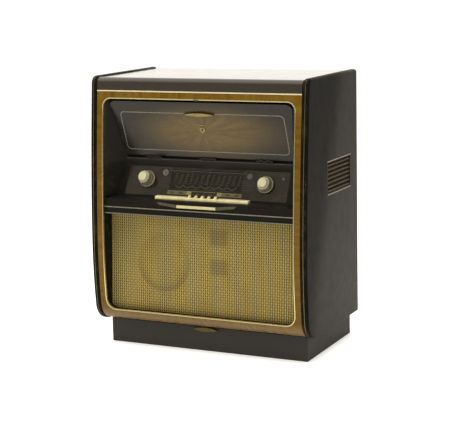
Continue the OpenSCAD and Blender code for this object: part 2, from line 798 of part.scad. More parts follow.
// Straight shaft with a tilted tip
module spindle() {
  color([0.82, 0.82, 0.80]) {
    translate([platter_x, platter_y, deck_z + 0.5])
      cylinder(r = spindle_r, h = platter_z - deck_z + spindle_h);
    translate([platter_x, platter_y, platter_z + spindle_h + 0.4]) rotate([0, 14, 0])
      cylinder(r = spindle_r - 0.4, h = 16);
  }
}
module tonearm_yoke() {
  color([0.55, 0.50, 0.42])
  difference() {
    union() {
      translate([arm_x, arm_y, deck_z + 9]) cylinder(r = 6, h = 14);
      translate([arm_x, arm_y, deck_z + 22]) cylinder(r = 16, h = 4);
      both_at(arm_x) box([arm_x + 11, arm_y - 8, deck_z + 26], [arm_x + 14, arm_y + 8, arm_z + 6]);
    }
    rod_x(arm_x - 40, arm_y, arm_z, 2.05, 80);
  }
}
// Section of the tonearm head, from the pivot: y, z
head_section = [[-168, -4], [-168, 7], [-200, 7], [-212, 2], [-212, -5], [-206, -8], [-176, -8]];
module tonearm() {
  color(changer_cream)
  translate([arm_x, arm_y, arm_z]) {
    rod_x(-17, 0, 0, 2, 34);                                              // pivot pin
    translate([0, 34, 0]) rotate([90, 0, 0]) cylinder(r = 4.2, h = 210);  // tube
    translate([0, 44, 0]) rotate([90, 0, 0]) cylinder(r = 9.5, h = 24);   // counterweight
    box([-8, -6, -5], [8, 6, 5]);                                         // pivot block
    yz(-9, 9) polygon(head_section);
    box([9, -206, 0], [22, -200, 2]);                                     // finger lift
    translate([0, -200, -11]) cylinder(r1 = 0.6, r2 = 2, h = 3, $fn = 24); // stylus
  }
}
module speed_lever() {
  color(changer_cream)
  translate([140, -66, plate_top]) {
    cylinder(r = 9, h = 5);
    translate([-2.5, 0, 5]) cube([5, 26, 5]);
    translate([0, 0, 5]) cylinder(r = 5, h = 5);
  }
}

/* ---------- speakers and cord ---------- */
// Basket with magnet, and cone; mouth at z = 0, body towards -z
module speaker(r, depth) {
  rotate_extrude($fn = 72) polygon([[r - 8, 0], [r, 0], [r, -3], [r - 3, -3],
    [r * 0.52, -depth * 0.6], [r * 0.52, -depth], [0, -depth], [0, -depth * 0.62],
    [r * 0.40, -depth * 0.62], [r * 0.40, -depth * 0.58], [r - 8, -3]]);
  rotate_extrude($fn = 72) polygon([[r - 8.2, -0.2], [r - 8.4, -1.8], [r * 0.30, -depth * 0.50],
    [r * 0.18, -depth * 0.46], [0, -depth * 0.42], [0, -depth * 0.40],
    [r * 0.20, -depth * 0.44], [r - 9.4, -0.2]]);
}
module baffle_speaker(at, r, depth) {
  on_cloth() translate([at[0], at[1], baffle_z - 0.1]) speaker(r, depth);
}
module woofer() { color(speaker_grey) baffle_speaker(woofer_at, woofer_r, 92); }
module small_speakers() {
  color(speaker_grey) {
    for (at = small_at) baffle_speaker(at, small_r, 44);
    // one behind the middle of each side vent
    both() translate([inner_x - 0.2, (vent_y0 + vent_y1) / 2, (vent_z0 + vent_z1) / 2])
      rotate([0, 90, 0]) speaker(small_r + 8, 40);
  }
}
// Cord that leaves the back cover, rises, loops over to the right and ends in a plug
module mains_cord() {
  cord_r = 3;
  bend_r = 8;
  loop_r = 60;
  run_y = cover_y + bend_r;
  loop_z = cord_z + 100;
  plug_x = cord_x + 2 * loop_r;
  plug_y = cover_y + 12.5;
  color([0.12, 0.10, 0.09]) {
    translate([cord_x, cover_y - 8, cord_z]) rotate([-90, 0, 0]) cylinder(r = cord_r, h = 8);
    translate([cord_x, cover_y, cord_z + bend_r]) rotate([90, 0, 90]) rotate([0, 0, -90])
      rotate_extrude(angle = 90) translate([bend_r, 0]) circle(r = cord_r);
    translate([cord_x, run_y, cord_z + bend_r])
      cylinder(r = cord_r, h = loop_z - cord_z - bend_r);
    translate([cord_x + loop_r, run_y, loop_z]) rotate([90, 0, 0])
      rotate_extrude(angle = 180, $fn = 72) translate([loop_r, 0]) circle(r = cord_r, $fn = 48);
    translate([plug_x, run_y, loop_z - 80]) cylinder(r = cord_r, h = 80);
    translate([plug_x, plug_y, cord_z - 6]) cylinder(r = 10, h = 38);
    both_at(plug_x) translate([plug_x + 6, plug_y, cord_z - 25]) cylinder(r = 2.4, h = 19.5);
  }
}

side_panel_left();
side_panel_right();
top_panel();
bottom_panel();
back_cover();
plinth();
front_frame();
opening_bezel();
brass_trims();
recess_lining();
dial_surround();
baffle_board();
grille_cloth();
side_vents();
flap_door();
flap_pull();
flap_escutcheon();
flap_hinge_fixed();
flap_hinge_moving();
flap_stays();
dial_glass();
dial_scale();
dial_pointer();
radio_chassis();
transformer();
valves();
tuning_capacitor();
tuning_rotor();
key_rod();
tone_bar_wings();
tone_bar();
volume_knob();
tone_ring();
tuning_knob();
antenna_ring();
key_1();
key_2();
key_3();
key_4();
key_5();
key_6();
key_7();
key_8();
key_9();
key_10();
key_11();
key_12();
key_13();
deck_board();
deck_plate();
changer_motor();
platter();
platter_mat();
spindle();
tonearm_yoke();
tonearm();
speed_lever();
woofer();
small_speakers();
mains_cord();
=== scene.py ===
"""A floor-standing radio cabinet with a bowed front: side panels, walnut frame, flap door, radio
dial with keys and knobs, woven grille below, record changer inside.

Lengths are in mm until a mesh is made. X runs across (right is +X), the front faces -Y, Z is up
and the floor is z = 0. Sloping parts use a plane of their own: x across, v up it, w out of it.
"""
import json
import math
import bmesh
import bpy
import numpy as np
from mathutils import Vector, Matrix, geometry


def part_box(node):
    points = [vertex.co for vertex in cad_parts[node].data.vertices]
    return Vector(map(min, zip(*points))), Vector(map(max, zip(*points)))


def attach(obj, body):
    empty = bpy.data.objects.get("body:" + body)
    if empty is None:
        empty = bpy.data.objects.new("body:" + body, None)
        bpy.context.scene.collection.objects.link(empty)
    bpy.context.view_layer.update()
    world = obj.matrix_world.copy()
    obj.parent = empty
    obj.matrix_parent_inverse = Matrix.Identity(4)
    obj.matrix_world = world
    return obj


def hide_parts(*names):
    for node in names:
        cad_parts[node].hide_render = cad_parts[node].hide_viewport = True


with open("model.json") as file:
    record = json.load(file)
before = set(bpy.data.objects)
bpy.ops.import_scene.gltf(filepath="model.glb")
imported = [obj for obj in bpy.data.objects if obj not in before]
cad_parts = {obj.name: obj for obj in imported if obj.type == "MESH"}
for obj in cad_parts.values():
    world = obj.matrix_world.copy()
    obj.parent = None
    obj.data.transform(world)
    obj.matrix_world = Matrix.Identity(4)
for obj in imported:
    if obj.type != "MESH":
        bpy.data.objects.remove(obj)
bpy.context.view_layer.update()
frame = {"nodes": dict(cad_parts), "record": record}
NODES = frame["nodes"]
BODY_OF = {n: b for b, ns in frame["record"]["behaviour"]["bodies"].items() for n in ns}
MM = 0.001
TURN = 2 * math.pi
QUARTER = math.pi / 2
random_yarn = np.random.default_rng(11)
scene = bpy.context.scene


# ---------------------------------------------------------------- main sizes
def box_mm(node):
    return [[c * 1000 for c in corner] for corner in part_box(node)]


(INNER_X, FRONT_Y, PLINTH_H), (HALF_W, BACK_Y, BODY_H) = box_mm("side_panel_right")
NOSE_Y = box_mm("top_panel")[0][1]
_, TOP_BACK_Y, TOP_Z = box_mm("top_panel")[1]
FRAME_X, _, FRAME_Z = box_mm("front_frame")[1]
COVER_Y = box_mm("back_cover")[1][1]

# the front is foremost at BULGE_Z and falls back by a power curve above and below it
BULGE_Z = 316.0
UP_POWER, DOWN_POWER = 1.506, 2.24
UP_SCALE, DOWN_SCALE = 36 / 533 ** UP_POWER, 7.95 / 177 ** DOWN_POWER

# front opening
OPEN_HALF_W, OPEN_Z0, OPEN_Z1 = 340.0, 125.5, 825.5
OPEN_TOP_R, OPEN_BOTTOM_R = 28.0, 36.0

# sloping planes: origin y, origin z, tilt in degrees
DIAL = (-157.0, 503.0, 65.77)
FLAP = (-112.0, 632.0, 110.3)
CLOTH = (-165.0, 431.0, 86.38)

# knobs on the dial plane; the left (volume) cap stands taller
KNOB_X, KNOB_V, KNOB_R = 212.0, 58.0, 28.0
VOLUME_H, TUNING_H = 42.0, 34.0

# vent opening in each side panel
VENT_Y0, VENT_Y1, VENT_Z0, VENT_Z1 = -45.0, 162.0, 516.0, 625.0

# rounding of the side panels' edges: front and top, back and foot
EDGE_R, EDGE_SMALL_R = 8.6, 3.0


def front_y(z):
    if z >= BULGE_Z:
        return FRONT_Y + UP_SCALE * (z - BULGE_Z) ** UP_POWER
    return FRONT_Y + DOWN_SCALE * (BULGE_Z - z) ** DOWN_POWER


def front_slope(z):
    if z >= BULGE_Z:
        return UP_SCALE * UP_POWER * (z - BULGE_Z) ** (UP_POWER - 1)
    return -DOWN_SCALE * DOWN_POWER * (BULGE_Z - z) ** (DOWN_POWER - 1)


# the foot arc takes the front profile under to the plinth
FOOT_Z = 139.0
FOOT_ANGLE = math.atan(-front_slope(FOOT_Z))
FOOT_R = (FOOT_Z - PLINTH_H) / (1 - math.sin(FOOT_ANGLE))
FOOT_CY = front_y(FOOT_Z) + FOOT_R * math.cos(FOOT_ANGLE)
FOOT_CZ = PLINTH_H + FOOT_R
FOOT_END_S = FOOT_Z - FOOT_R * (QUARTER - FOOT_ANGLE)

# the crown arc takes it over to the top
CROWN_R = 25.0
CROWN_Z = BODY_H - CROWN_R * 0.897
CROWN_ANGLE = math.atan(front_slope(CROWN_Z))
CROWN_CY = front_y(CROWN_Z) + CROWN_R * math.cos(CROWN_ANGLE)
CROWN_CZ = BODY_H - CROWN_R


def on_front(x, s, depth):
    """Point on the bowed front: s along the profile, depth below the panel edge."""
    if s >= FOOT_Z:
        length = math.sqrt(1 + front_slope(s) ** 2)
        return (x, front_y(s) + depth / length, s - depth * front_slope(s) / length)
    angle = math.pi + FOOT_ANGLE + (FOOT_Z - s) / FOOT_R
    r = FOOT_R - depth
    return (x, FOOT_CY + r * math.cos(angle), FOOT_CZ + r * math.sin(angle))


def profile_s(z, depth):
    """Profile parameter s of the point at height z, depth below the edge."""
    if z >= on_front(0, FOOT_Z, depth)[2]:
        s = z
        for _ in range(4):
            slope = front_slope(max(s, FOOT_Z))
            s = z + depth * slope / math.sqrt(1 + slope ** 2)
        return max(s, FOOT_Z)
    sine = min(1.0, max(-1.0, (FOOT_CZ - z) / (FOOT_R - depth)))
    return FOOT_Z - (math.asin(sine) - FOOT_ANGLE) * FOOT_R


def plane_placer(plane):
    """Function that takes (x, v, w) on a sloping plane to cabinet coordinates."""
    y0, z0, tilt = plane
    c, s = math.cos(math.radians(tilt)), math.sin(math.radians(tilt))
    return lambda x, v, w: (x, y0 + v * c - w * s, z0 + v * s + w * c)


on_dial, on_flap, on_cloth = [plane_placer(plane) for plane in (DIAL, FLAP, CLOTH)]


def in_cabinet(x, y, z):
    return (x, y, z)


# ---------------------------------------------------------------- outlines and solids
def arc(cx, cz, r, start, end, steps):
    angles = [math.radians(start + (end - start) * i / steps) for i in range(steps + 1)]
    return [(cx + r * math.cos(a), cz + r * math.sin(a)) for a in angles]


def between(a, b, steps):
    """Points strictly between a and b."""
    return [(a[0] + (b[0] - a[0]) * i / steps, a[1] + (b[1] - a[1]) * i / steps)
            for i in range(1, steps)]


def rounded_loop(hx, z0, z1, top_r, bottom_r, arc_steps, across_steps, up_steps):
    """Rounded rectangle of half width hx, counter-clockwise from its right side."""
    tr = arc(hx - top_r, z1 - top_r, top_r, 0, 90, arc_steps)
    tl = arc(-hx + top_r, z1 - top_r, top_r, 90, 180, arc_steps)
    bl = arc(-hx + bottom_r, z0 + bottom_r, bottom_r, 180, 270, arc_steps)
    br = arc(hx - bottom_r, z0 + bottom_r, bottom_r, 270, 360, arc_steps)
    return (tr + between(tr[-1], tl[0], across_steps) + tl + between(tl[-1], bl[0], up_steps)
            + bl + between(bl[-1], br[0], across_steps) + br + between(br[-1], tr[0], up_steps))


def opening(grow):
    return rounded_loop(OPEN_HALF_W + grow, OPEN_Z0 - grow, OPEN_Z1 + grow,
                        OPEN_TOP_R + grow, OPEN_BOTTOM_R + grow,
                        arc_steps=12, across_steps=8, up_steps=46)


def loft(rings, joined=False):
    """Skin over rings of equal length; joined also links the last ring to the first."""
    n, count = len(rings[0]), len(rings)
    verts = [p for ring in rings for p in ring]
    faces = []
    for j in range(count if joined else count - 1):
        a, b = j * n, ((j + 1) % count) * n
        for i in range(n):
            i2 = (i + 1) % n
            faces.append((a + i, a + i2, b + i2, b + i))
    return verts, faces


def capped(rings):
    """Loft closed with a face at each end."""
    verts, faces = loft(rings)
    n = len(rings[0])
    faces.append(tuple(range(n)))
    faces.append(tuple(len(verts) - n + i for i in range(n)))
    return verts, faces


def strip(points, width, height, place, base, closed=False):
    """Flat strip with eased top edges along (x, v) points, standing on w = base."""
    section = ((1, 0), (1, 0.7), (0.6, 1), (-0.6, 1), (-1, 0.7), (-1, 0))
    n = len(points)
    rings = []
    for i, p in enumerate(points):
        a = points[i - 1] if (i > 0 or closed) else p
        b = points[(i + 1) % n] if (i < n - 1 or closed) else p
        dx, dv = b[0] - a[0], b[1] - a[1]
        length = math.hypot(dx, dv) or 1
        nx, nv = -dv / length * width / 2, dx / length * width / 2
        rings.append([place(p[0] + nx * side, p[1] + nv * side, base + height * up)
                      for side, up in section])
    return loft(rings, joined=True) if closed else capped(rings)


def merge(parts):
    verts, faces = [], []
    for part_verts, part_faces in parts:
        start = len(verts)
        verts += part_verts
        faces += [tuple(i + start for i in face) for face in part_faces]
    return verts, faces


def block(place, a, b):
    """Closed box between two local corners."""
    verts = [place(x, v, w) for x in (a[0], b[0]) for v in (a[1], b[1]) for w in (a[2], b[2])]
    return verts, [(0, 1, 3, 2), (4, 6, 7, 5), (0, 4, 5, 1),
                   (2, 3, 7, 6), (0, 2, 6, 4), (1, 5, 7, 3)]


def turned(place, centre, profile, steps, flute=None, hollow=False):
    """Turned part from (radius, w) stations; hollow joins the last station to the first.
    flute is (count, depth, first station, last station)."""
    rings = []
    for k, (radius, w) in enumerate(profile):
        ring = []
        for i in range(steps):
            a = TURN * i / steps
            r = radius
            if flute and flute[2] <= k <= flute[3]:
                r -= flute[1] * (0.5 + 0.5 * math.cos(a * flute[0]))
            ring.append(place(centre[0] + r * math.cos(a), centre[1] + r * math.sin(a), w))
        rings.append(ring)
    return loft(rings, joined=True) if hollow else capped(rings)


# ---------------------------------------------------------------- objects
def link(name, data):
    ob = bpy.data.objects.new(name, data)
    scene.collection.objects.link(ob)
    return ob


def finish_mesh(ob, mat, body, smooth, weighted=True):
    me = ob.data
    me.materials.clear()
    me.materials.append(mat)
    bm = bmesh.new()
    bm.from_mesh(me)
    bmesh.ops.recalc_face_normals(bm, faces=bm.faces)
    bm.to_mesh(me)
    bm.free()
    me.shade_smooth()
    me.set_sharp_from_angle(angle=math.radians(smooth))
    if weighted:
        modifier = ob.modifiers.new("wn", "WEIGHTED_NORMAL")
        modifier.keep_sharp = True
        modifier.weight = 60
    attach(ob, body)


def add_mesh(name, shape, mat, body="cabinet", smooth=50, attrs=None, weighted=True):
    verts, faces = shape
    me = bpy.data.meshes.new(name)
    me.from_pydata([(x * MM, y * MM, z * MM) for x, y, z in verts], [], faces)
    me.validate()
    for key, values in (attrs or {}).items():
        attribute = me.attributes.new(key, "FLOAT", "POINT")
        attribute.data.foreach_set("value", np.asarray(values, np.float32))
    ob = link(name, me)
    finish_mesh(ob, mat, body, smooth, weighted)
    return ob


def bevel(ob, width, steps=2, angle=35):
    """Rounded edges, put ahead of the weighted normals."""
    modifier = ob.modifiers.new("bev", "BEVEL")
    modifier.width = width * MM
    modifier.segments = steps
    modifier.limit_method = "ANGLE"
    modifier.angle_limit = math.radians(angle)
    modifier.harden_normals = False
    modifier.miter_outer = "MITER_ARC"
    ob.modifiers.move(len(ob.modifiers) - 1, 0)


def islands(bm):
    """Separate solids of a mesh, each as a list of vertices."""
    seen, found = set(), []
    for first in bm.verts:
        if first in seen:
            continue
        island, waiting = [], [first]
        seen.add(first)
        while waiting:
            vert = waiting.pop()
            island.append(vert)
            for edge in vert.link_edges:
                other = edge.other_vert(vert)
                if other not in seen:
                    seen.add(other)
                    waiting.append(other)
        found.append(island)
    return found


def dress(node, mat, slot, width, steps=2, dissolve=True, angle=35, name=None, keep_z=None):
    """Finished copy of a CAD node that stands for it: welded, its edges rounded.
    keep_z keeps only the solids whose middle height lies in that range."""
    bm = bmesh.new()
    bm.from_mesh(NODES[node].data)
    bmesh.ops.remove_doubles(bm, verts=bm.verts, dist=2e-6)
    if keep_z:
        drop = []
        for island in islands(bm):
            heights = [vert.co.z * 1000 for vert in island]
            if not keep_z[0] < (min(heights) + max(heights)) / 2 < keep_z[1]:
                drop += island
        bmesh.ops.delete(bm, geom=drop, context="VERTS")
    if dissolve:
        bmesh.ops.dissolve_limit(bm, angle_limit=math.radians(0.4),
                                 verts=bm.verts, edges=bm.edges)
    me = bpy.data.meshes.new((name or node) + "_m")
    bm.to_mesh(me)
    bm.free()
    ob = link(name or "v_" + node, me)
    finish_mesh(ob, mat, BODY_OF[node], smooth=32)
    if width:
        bevel(ob, width, steps, angle)
    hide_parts(node)


# ---------------------------------------------------------------- shader graph helper
class Graph:
    """Node tree of a material or world. Lengths in it are mm."""
    MIX_SOCKETS = {"FLOAT": (2, 3, 0), "VECTOR": (4, 5, 1), "RGBA": (6, 7, 2)}  # in a, in b, out

    def __init__(self, owner):
        self.owner = owner
        owner.use_nodes = True
        self.tree = owner.node_tree
        self.tree.nodes.clear()
        self.position = None

    def node(self, kind, **settings):
        node = self.tree.nodes.new(kind)
        for key, value in settings.items():
            setattr(node, key, value)
        return node

    def put(self, socket, value):
        if isinstance(value, bpy.types.NodeSocket):
            self.tree.links.new(value, socket)
        elif value is not None:
            if isinstance(value, (tuple, list)) and len(value) == 3 and socket.type == "RGBA":
                value = (*value, 1.0)
            socket.default_value = value

    def fill(self, node, values):
        """Set the node's first inputs in order; return its first output."""
        for socket, value in zip(node.inputs, values):
            self.put(socket, value)
        return node.outputs[0]

    def mm(self):
        """Object coordinates in mm."""
        if self.position is None:
            coords = self.node("ShaderNodeTexCoord")
            scaled = self.node("ShaderNodeVectorMath", operation="SCALE")
            self.put(scaled.inputs[0], coords.outputs["Object"])
            scaled.inputs["Scale"].default_value = 1000.0
            self.position = scaled.outputs[0]
        return self.position

    def local(self, plane):
        """x, v and w on a sloping plane, as one vector."""
        y0, z0, tilt = plane
        node = self.node("ShaderNodeMapping", vector_type="TEXTURE")
        self.put(node.inputs["Vector"], self.mm())
        node.inputs["Location"].default_value = (0.0, y0, z0)
        node.inputs["Rotation"].default_value = (math.radians(tilt), 0.0, 0.0)
        return node.outputs[0]

    def stretch(self, vector, factors):
        return self.fill(self.node("ShaderNodeVectorMath", operation="MULTIPLY"),
                         (vector, factors))

    def split(self, vector):
        node = self.node("ShaderNodeSeparateXYZ")
        self.put(node.inputs[0], vector)
        return node.outputs[0], node.outputs[1], node.outputs[2]

    def combine(self, x, y, z):
        return self.fill(self.node("ShaderNodeCombineXYZ"), (x, y, z))

    def noise(self, vector, size, detail=3.0, rough=0.5, warp=0.0):
        node = self.node("ShaderNodeTexNoise")
        self.put(node.inputs["Vector"], vector)
        node.inputs["Scale"].default_value = 1.0 / size
        node.inputs["Detail"].default_value = detail
        node.inputs["Roughness"].default_value = rough
        node.inputs["Distortion"].default_value = warp
        return node.outputs[0]

    def math(self, operation, a, b=None, c=None):
        return self.fill(self.node("ShaderNodeMath", operation=operation), (a, b, c))

    def add(self, a, b):
        return self.math("ADD", a, b)

    def sub(self, a, b):
        return self.math("SUBTRACT", a, b)

    def times(self, a, b):
        return self.math("MULTIPLY", a, b)

    def absolute(self, a):
        return self.math("ABSOLUTE", a)

    def hypot(self, a, b):
        return self.math("SQRT", self.add(self.times(a, a), self.times(b, b)))

    def fade(self, value, over, to=(0.0, 1.0), linear=False):
        """Take value from the range over to the range to, clamped."""
        kind = "LINEAR" if linear else "SMOOTHSTEP"
        return self.fill(self.node("ShaderNodeMapRange", interpolation_type=kind, clamp=True),
                         (value, *over, *to))

    def uneven(self, noise, to):
        """Spread the usual range of a noise over the range to."""
        return self.fade(noise, over=(0.3, 0.7), to=to)

    def ramp(self, value, *stops):
        """Colour ramp through (position, colour) stops."""
        node = self.node("ShaderNodeValToRGB")
        elements = node.color_ramp.elements
        while len(elements) < len(stops):
            elements.new(0.5)
        for element, (position, colour) in zip(elements, stops):
            element.position = position
            element.color = (*colour, 1.0)
        self.put(node.inputs[0], value)
        return node.outputs[0]

    def mix(self, amount, a, b, kind="RGBA"):
        """a where amount is 0, b where it is 1."""
        node = self.node("ShaderNodeMix", data_type=kind)
        in_a, in_b, out = self.MIX_SOCKETS[kind]
        self.put(node.inputs[0], amount)
        self.put(node.inputs[in_a], a)
        self.put(node.inputs[in_b], b)
        return node.outputs[out]

    def attr(self, name):
        return self.node("ShaderNodeAttribute", attribute_name=name).outputs["Fac"]

    def bump(self, height, depth, normal=None):
        node = self.node("ShaderNodeBump")
        node.inputs["Distance"].default_value = depth * MM
        self.put(node.inputs["Height"], height)
        self.put(node.inputs["Normal"], normal)
        return node.outputs[0]

    def scratches(self, vector, size, width, amount):
        """Thin bands of a stretched, warped noise, broken up by another; 0 to amount."""
        wave = self.noise(self.stretch(vector, (1.0, 1.0, 0.22)), size, detail=1.0, warp=1.2)
        band = self.fade(self.absolute(self.sub(wave, 0.5)), over=(0.0, width), to=(1.0, 0.0))
        gate = self.fade(self.noise(vector, size * 1.7, detail=2.0), over=(0.56, 0.72))
        return self.times(self.times(band, gate), amount)

    def bsdf(self, **inputs):
        """Close the tree with a principled shader; return the material."""
        shader = self.node("ShaderNodeBsdfPrincipled")
        for key, value in inputs.items():
            self.put(shader.inputs[key.replace("_", " ")], value)
        output = self.node("ShaderNodeOutputMaterial")
        self.tree.links.new(shader.outputs[0], output.inputs[0])
        return self.owner


def new_material(name):
    """Graph of a new material, and its position vector."""
    g = Graph(bpy.data.materials.new(name))
    return g, g.mm()


def shade(colour, factor):
    return tuple(c * factor for c in colour)


# ---------------------------------------------------------------- wood and lacquer
def ebonised_wood(name, rough, top=False, specular=None, lift=0.0):
    """Wood stained nearly black: faint grain, uneven lacquer, rubbed edges.
    lift greys it; specular None takes it from the haze."""
    g, p = new_material(name)
    along = g.stretch(p, (0.045, 1.0, 1.0) if top else (1.0, 1.0, 0.045))
    grain = g.noise(along, size=3.2, detail=5.0, rough=0.62, warp=0.35)
    figure = g.noise(along, size=16.0, warp=0.9)
    cloud = g.noise(p, size=150.0)
    col = g.ramp(g.math("MULTIPLY_ADD", grain, 0.55, g.times(figure, 0.45)),
                 (0.32, (0.0034, 0.0027, 0.0020)), (0.55, (0.0062, 0.0048, 0.0034)),
                 (0.74, (0.0140, 0.0095, 0.0058)))
    col = g.mix(g.fade(cloud, over=(0.35, 0.7), to=(0.0, 0.35)), col, (0.0075, 0.0059, 0.0043))
    if top:  # lighter along the front nose
        nose = g.fade(g.split(p)[1], over=(NOSE_Y, NOSE_Y + 16.0), to=(1.0, 0.0))
        col = g.mix(nose, col, (0.0235, 0.0187, 0.0115))
        level = 0.7
    else:  # haze that grows towards the back and the foot
        _, y, z = g.split(p)
        back = g.sub(g.add(y, 200.0), g.times(z, 0.35))
        haze = g.add(g.times(g.fade(back, over=(-90.0, 55.0)), 0.74),
                     g.times(g.fade(back, over=(55.0, 350.0)), 0.26))
        col = g.mix(haze, col, (0.0215, 0.0180, 0.0130))
        level = specular
        if level is None:
            level = g.math("MULTIPLY_ADD", haze, 0.045, 0.028)
    if lift:
        col = g.mix(lift, col, (0.084, 0.082, 0.074))
    scratch = g.scratches(p, size=60.0, width=0.004, amount=0.24)
    col = g.mix(scratch, col, (0.085, 0.070, 0.055))
    if not top:
        # chips to bare wood on the rounded edges, then a general rub
        edge = g.attr("edge")
        chips = g.fade(g.noise(g.stretch(p, (1, 1, 0.4)), size=5.0, detail=4.0, rough=0.6),
                       over=(0.655, 0.70))
        rare = g.fade(g.noise(p, size=62.0, detail=1.0), over=(0.53, 0.64))
        chip = g.times(g.times(chips, rare), g.fade(edge, over=(0.55, 0.95)))
        col = g.mix(chip, col, (0.30, 0.20, 0.115))
        patches = g.fade(g.noise(p, size=24.0), over=(0.42, 0.7), to=(0.0, 0.30))
        rub = g.times(g.fade(edge, over=(0.5, 1.0)), patches)
        col = g.mix(rub, col, (0.052, 0.038, 0.026))
    roughness = g.add(g.fade(g.noise(p, size=38.0, detail=4.0, rough=0.6),
                             over=(0.3, 0.75), to=(rough - 0.03, rough + 0.05)),
                      g.times(scratch, 0.2))
    relief = g.add(g.times(grain, 0.75), g.times(g.noise(along, size=9.0), 0.25))
    normal = g.bump(relief, depth=0.02 if top else 0.10)
    normal = g.bump(scratch, depth=-0.06, normal=normal)
    return g.bsdf(Base_Color=col, Roughness=roughness, Normal=normal,
                  Coat_Weight=0.54 if top else 0.0, Coat_Roughness=0.09 if top else 0.22,
                  Coat_IOR=1.7 if top else 1.5, Specular_IOR_Level=level,
                  Specular_Tint=(1.0, 0.94, 0.84))


def walnut_crossband(name):
    """Walnut with its grain across the stiles and up the rails, mitred at the corners."""
    g, p = new_material(name)
    x, y, z = g.split(p)
    beside = g.sub(g.absolute(x), OPEN_HALF_W)
    above = g.sub(z, OPEN_Z1)
    below = g.sub(OPEN_Z0, z)
    is_rail = g.math("GREATER_THAN", g.math("MAXIMUM", above, below), beside)
    stile = g.combine(g.times(x, 0.05), g.times(y, 0.05), z)
    rail = g.combine(x, g.times(y, 0.05), g.times(z, 0.05))
    v = g.mix(is_rail, stile, rail, kind="VECTOR")
    grain = g.noise(v, size=2.6, detail=5.0, rough=0.6, warp=0.3)
    bands = g.noise(v, size=15.0, rough=0.55, warp=0.5)
    slow = g.noise(v, size=95.0, detail=2.0)
    tone = g.add(g.times(grain, 0.34), g.add(g.times(bands, 0.44), g.times(slow, 0.22)))
    col = g.ramp(g.fade(tone, over=(0.34, 0.68), to=(0.2, 0.85), linear=True),
                 (0.22, (0.079, 0.038, 0.0037)), (0.45, (0.110, 0.058, 0.0047)),
                 (0.62, (0.132, 0.073, 0.0062)), (0.82, (0.165, 0.097, 0.0099)))
    pore = g.fade(g.noise(v, size=0.9, detail=2.0), over=(0.62, 0.72))
    col = g.mix(g.times(pore, 0.35), col, (0.03, 0.012, 0.003))
    col = g.mix(g.scratches(p, size=40.0, width=0.004, amount=0.4), col, (0.30, 0.20, 0.09))
    # the foot is paler
    col = g.mix(g.fade(z, over=(100.0, 150.0), to=(0.62, 0.0)), col, (0.215, 0.150, 0.072))
    roughness = g.uneven(g.noise(p, size=30.0), to=(0.24, 0.34))
    normal = g.bump(g.sub(g.times(grain, 0.6), pore), depth=0.05)
    return g.bsdf(Base_Color=col, Roughness=roughness, Normal=normal, Coat_Weight=0.05,
                  Coat_Roughness=0.14, Specular_IOR_Level=0.20,
                  Specular_Tint=(1.0, 0.88, 0.62))


def sunburst_veneer(name):
    """Veneer in rays about the middle of the flap, golden there and toned dark outwards."""
    g, _ = new_material(name)
    v = g.local(FLAP)
    x, up, _ = g.split(v)
    rise = g.sub(up, 92.0)
    # oval radius about (20, 92), and the angle of the rays
    r = g.hypot(g.times(g.sub(x, 20.0), 0.0036), g.times(rise, 0.0098))
    angle = g.math("ARCTAN2", g.times(rise, 1.6), x)
    ray_pos = g.combine(g.times(g.math("COSINE", angle), 10.0),
                        g.times(g.math("SINE", angle), 10.0), g.times(r, 0.8))
    rays = g.noise(ray_pos, size=1.3, rough=0.55, warp=0.1)
    fine = g.noise(ray_pos, size=0.28, detail=2.0)
    tone = g.add(g.times(rays, 0.72), g.times(fine, 0.28))
    gold = g.ramp(g.fade(tone, over=(0.26, 0.72), linear=True),
                  (0.0, (0.064, 0.037, 0.0080)), (0.45, (0.106, 0.068, 0.0170)),
                  (1.0, (0.160, 0.110, 0.032)))
    ragged_r = g.add(r, g.times(g.sub(rays, 0.5), 0.34))
    col = g.mix(g.fade(ragged_r, over=(0.28, 1.12)), gold, (0.0085, 0.0078, 0.0066))
    mottle = g.noise(g.stretch(v, (0.2, 1.0, 1.0)), size=6.0)
    col = g.mix(g.fade(mottle, over=(0.4, 0.75), to=(0.0, 0.35)), col, (0.018, 0.014, 0.011))
    roughness = g.uneven(g.noise(v, size=40.0), to=(0.20, 0.29))
    normal = g.bump(g.add(g.noise(v, size=22.0, detail=2.0), g.times(fine, 0.15)), depth=0.07)
    return g.bsdf(Base_Color=col, Roughness=roughness, Normal=normal, Coat_Weight=0.12,
                  Coat_Roughness=0.12, Specular_IOR_Level=0.28,
                  Specular_Tint=(1.0, 0.94, 0.82))


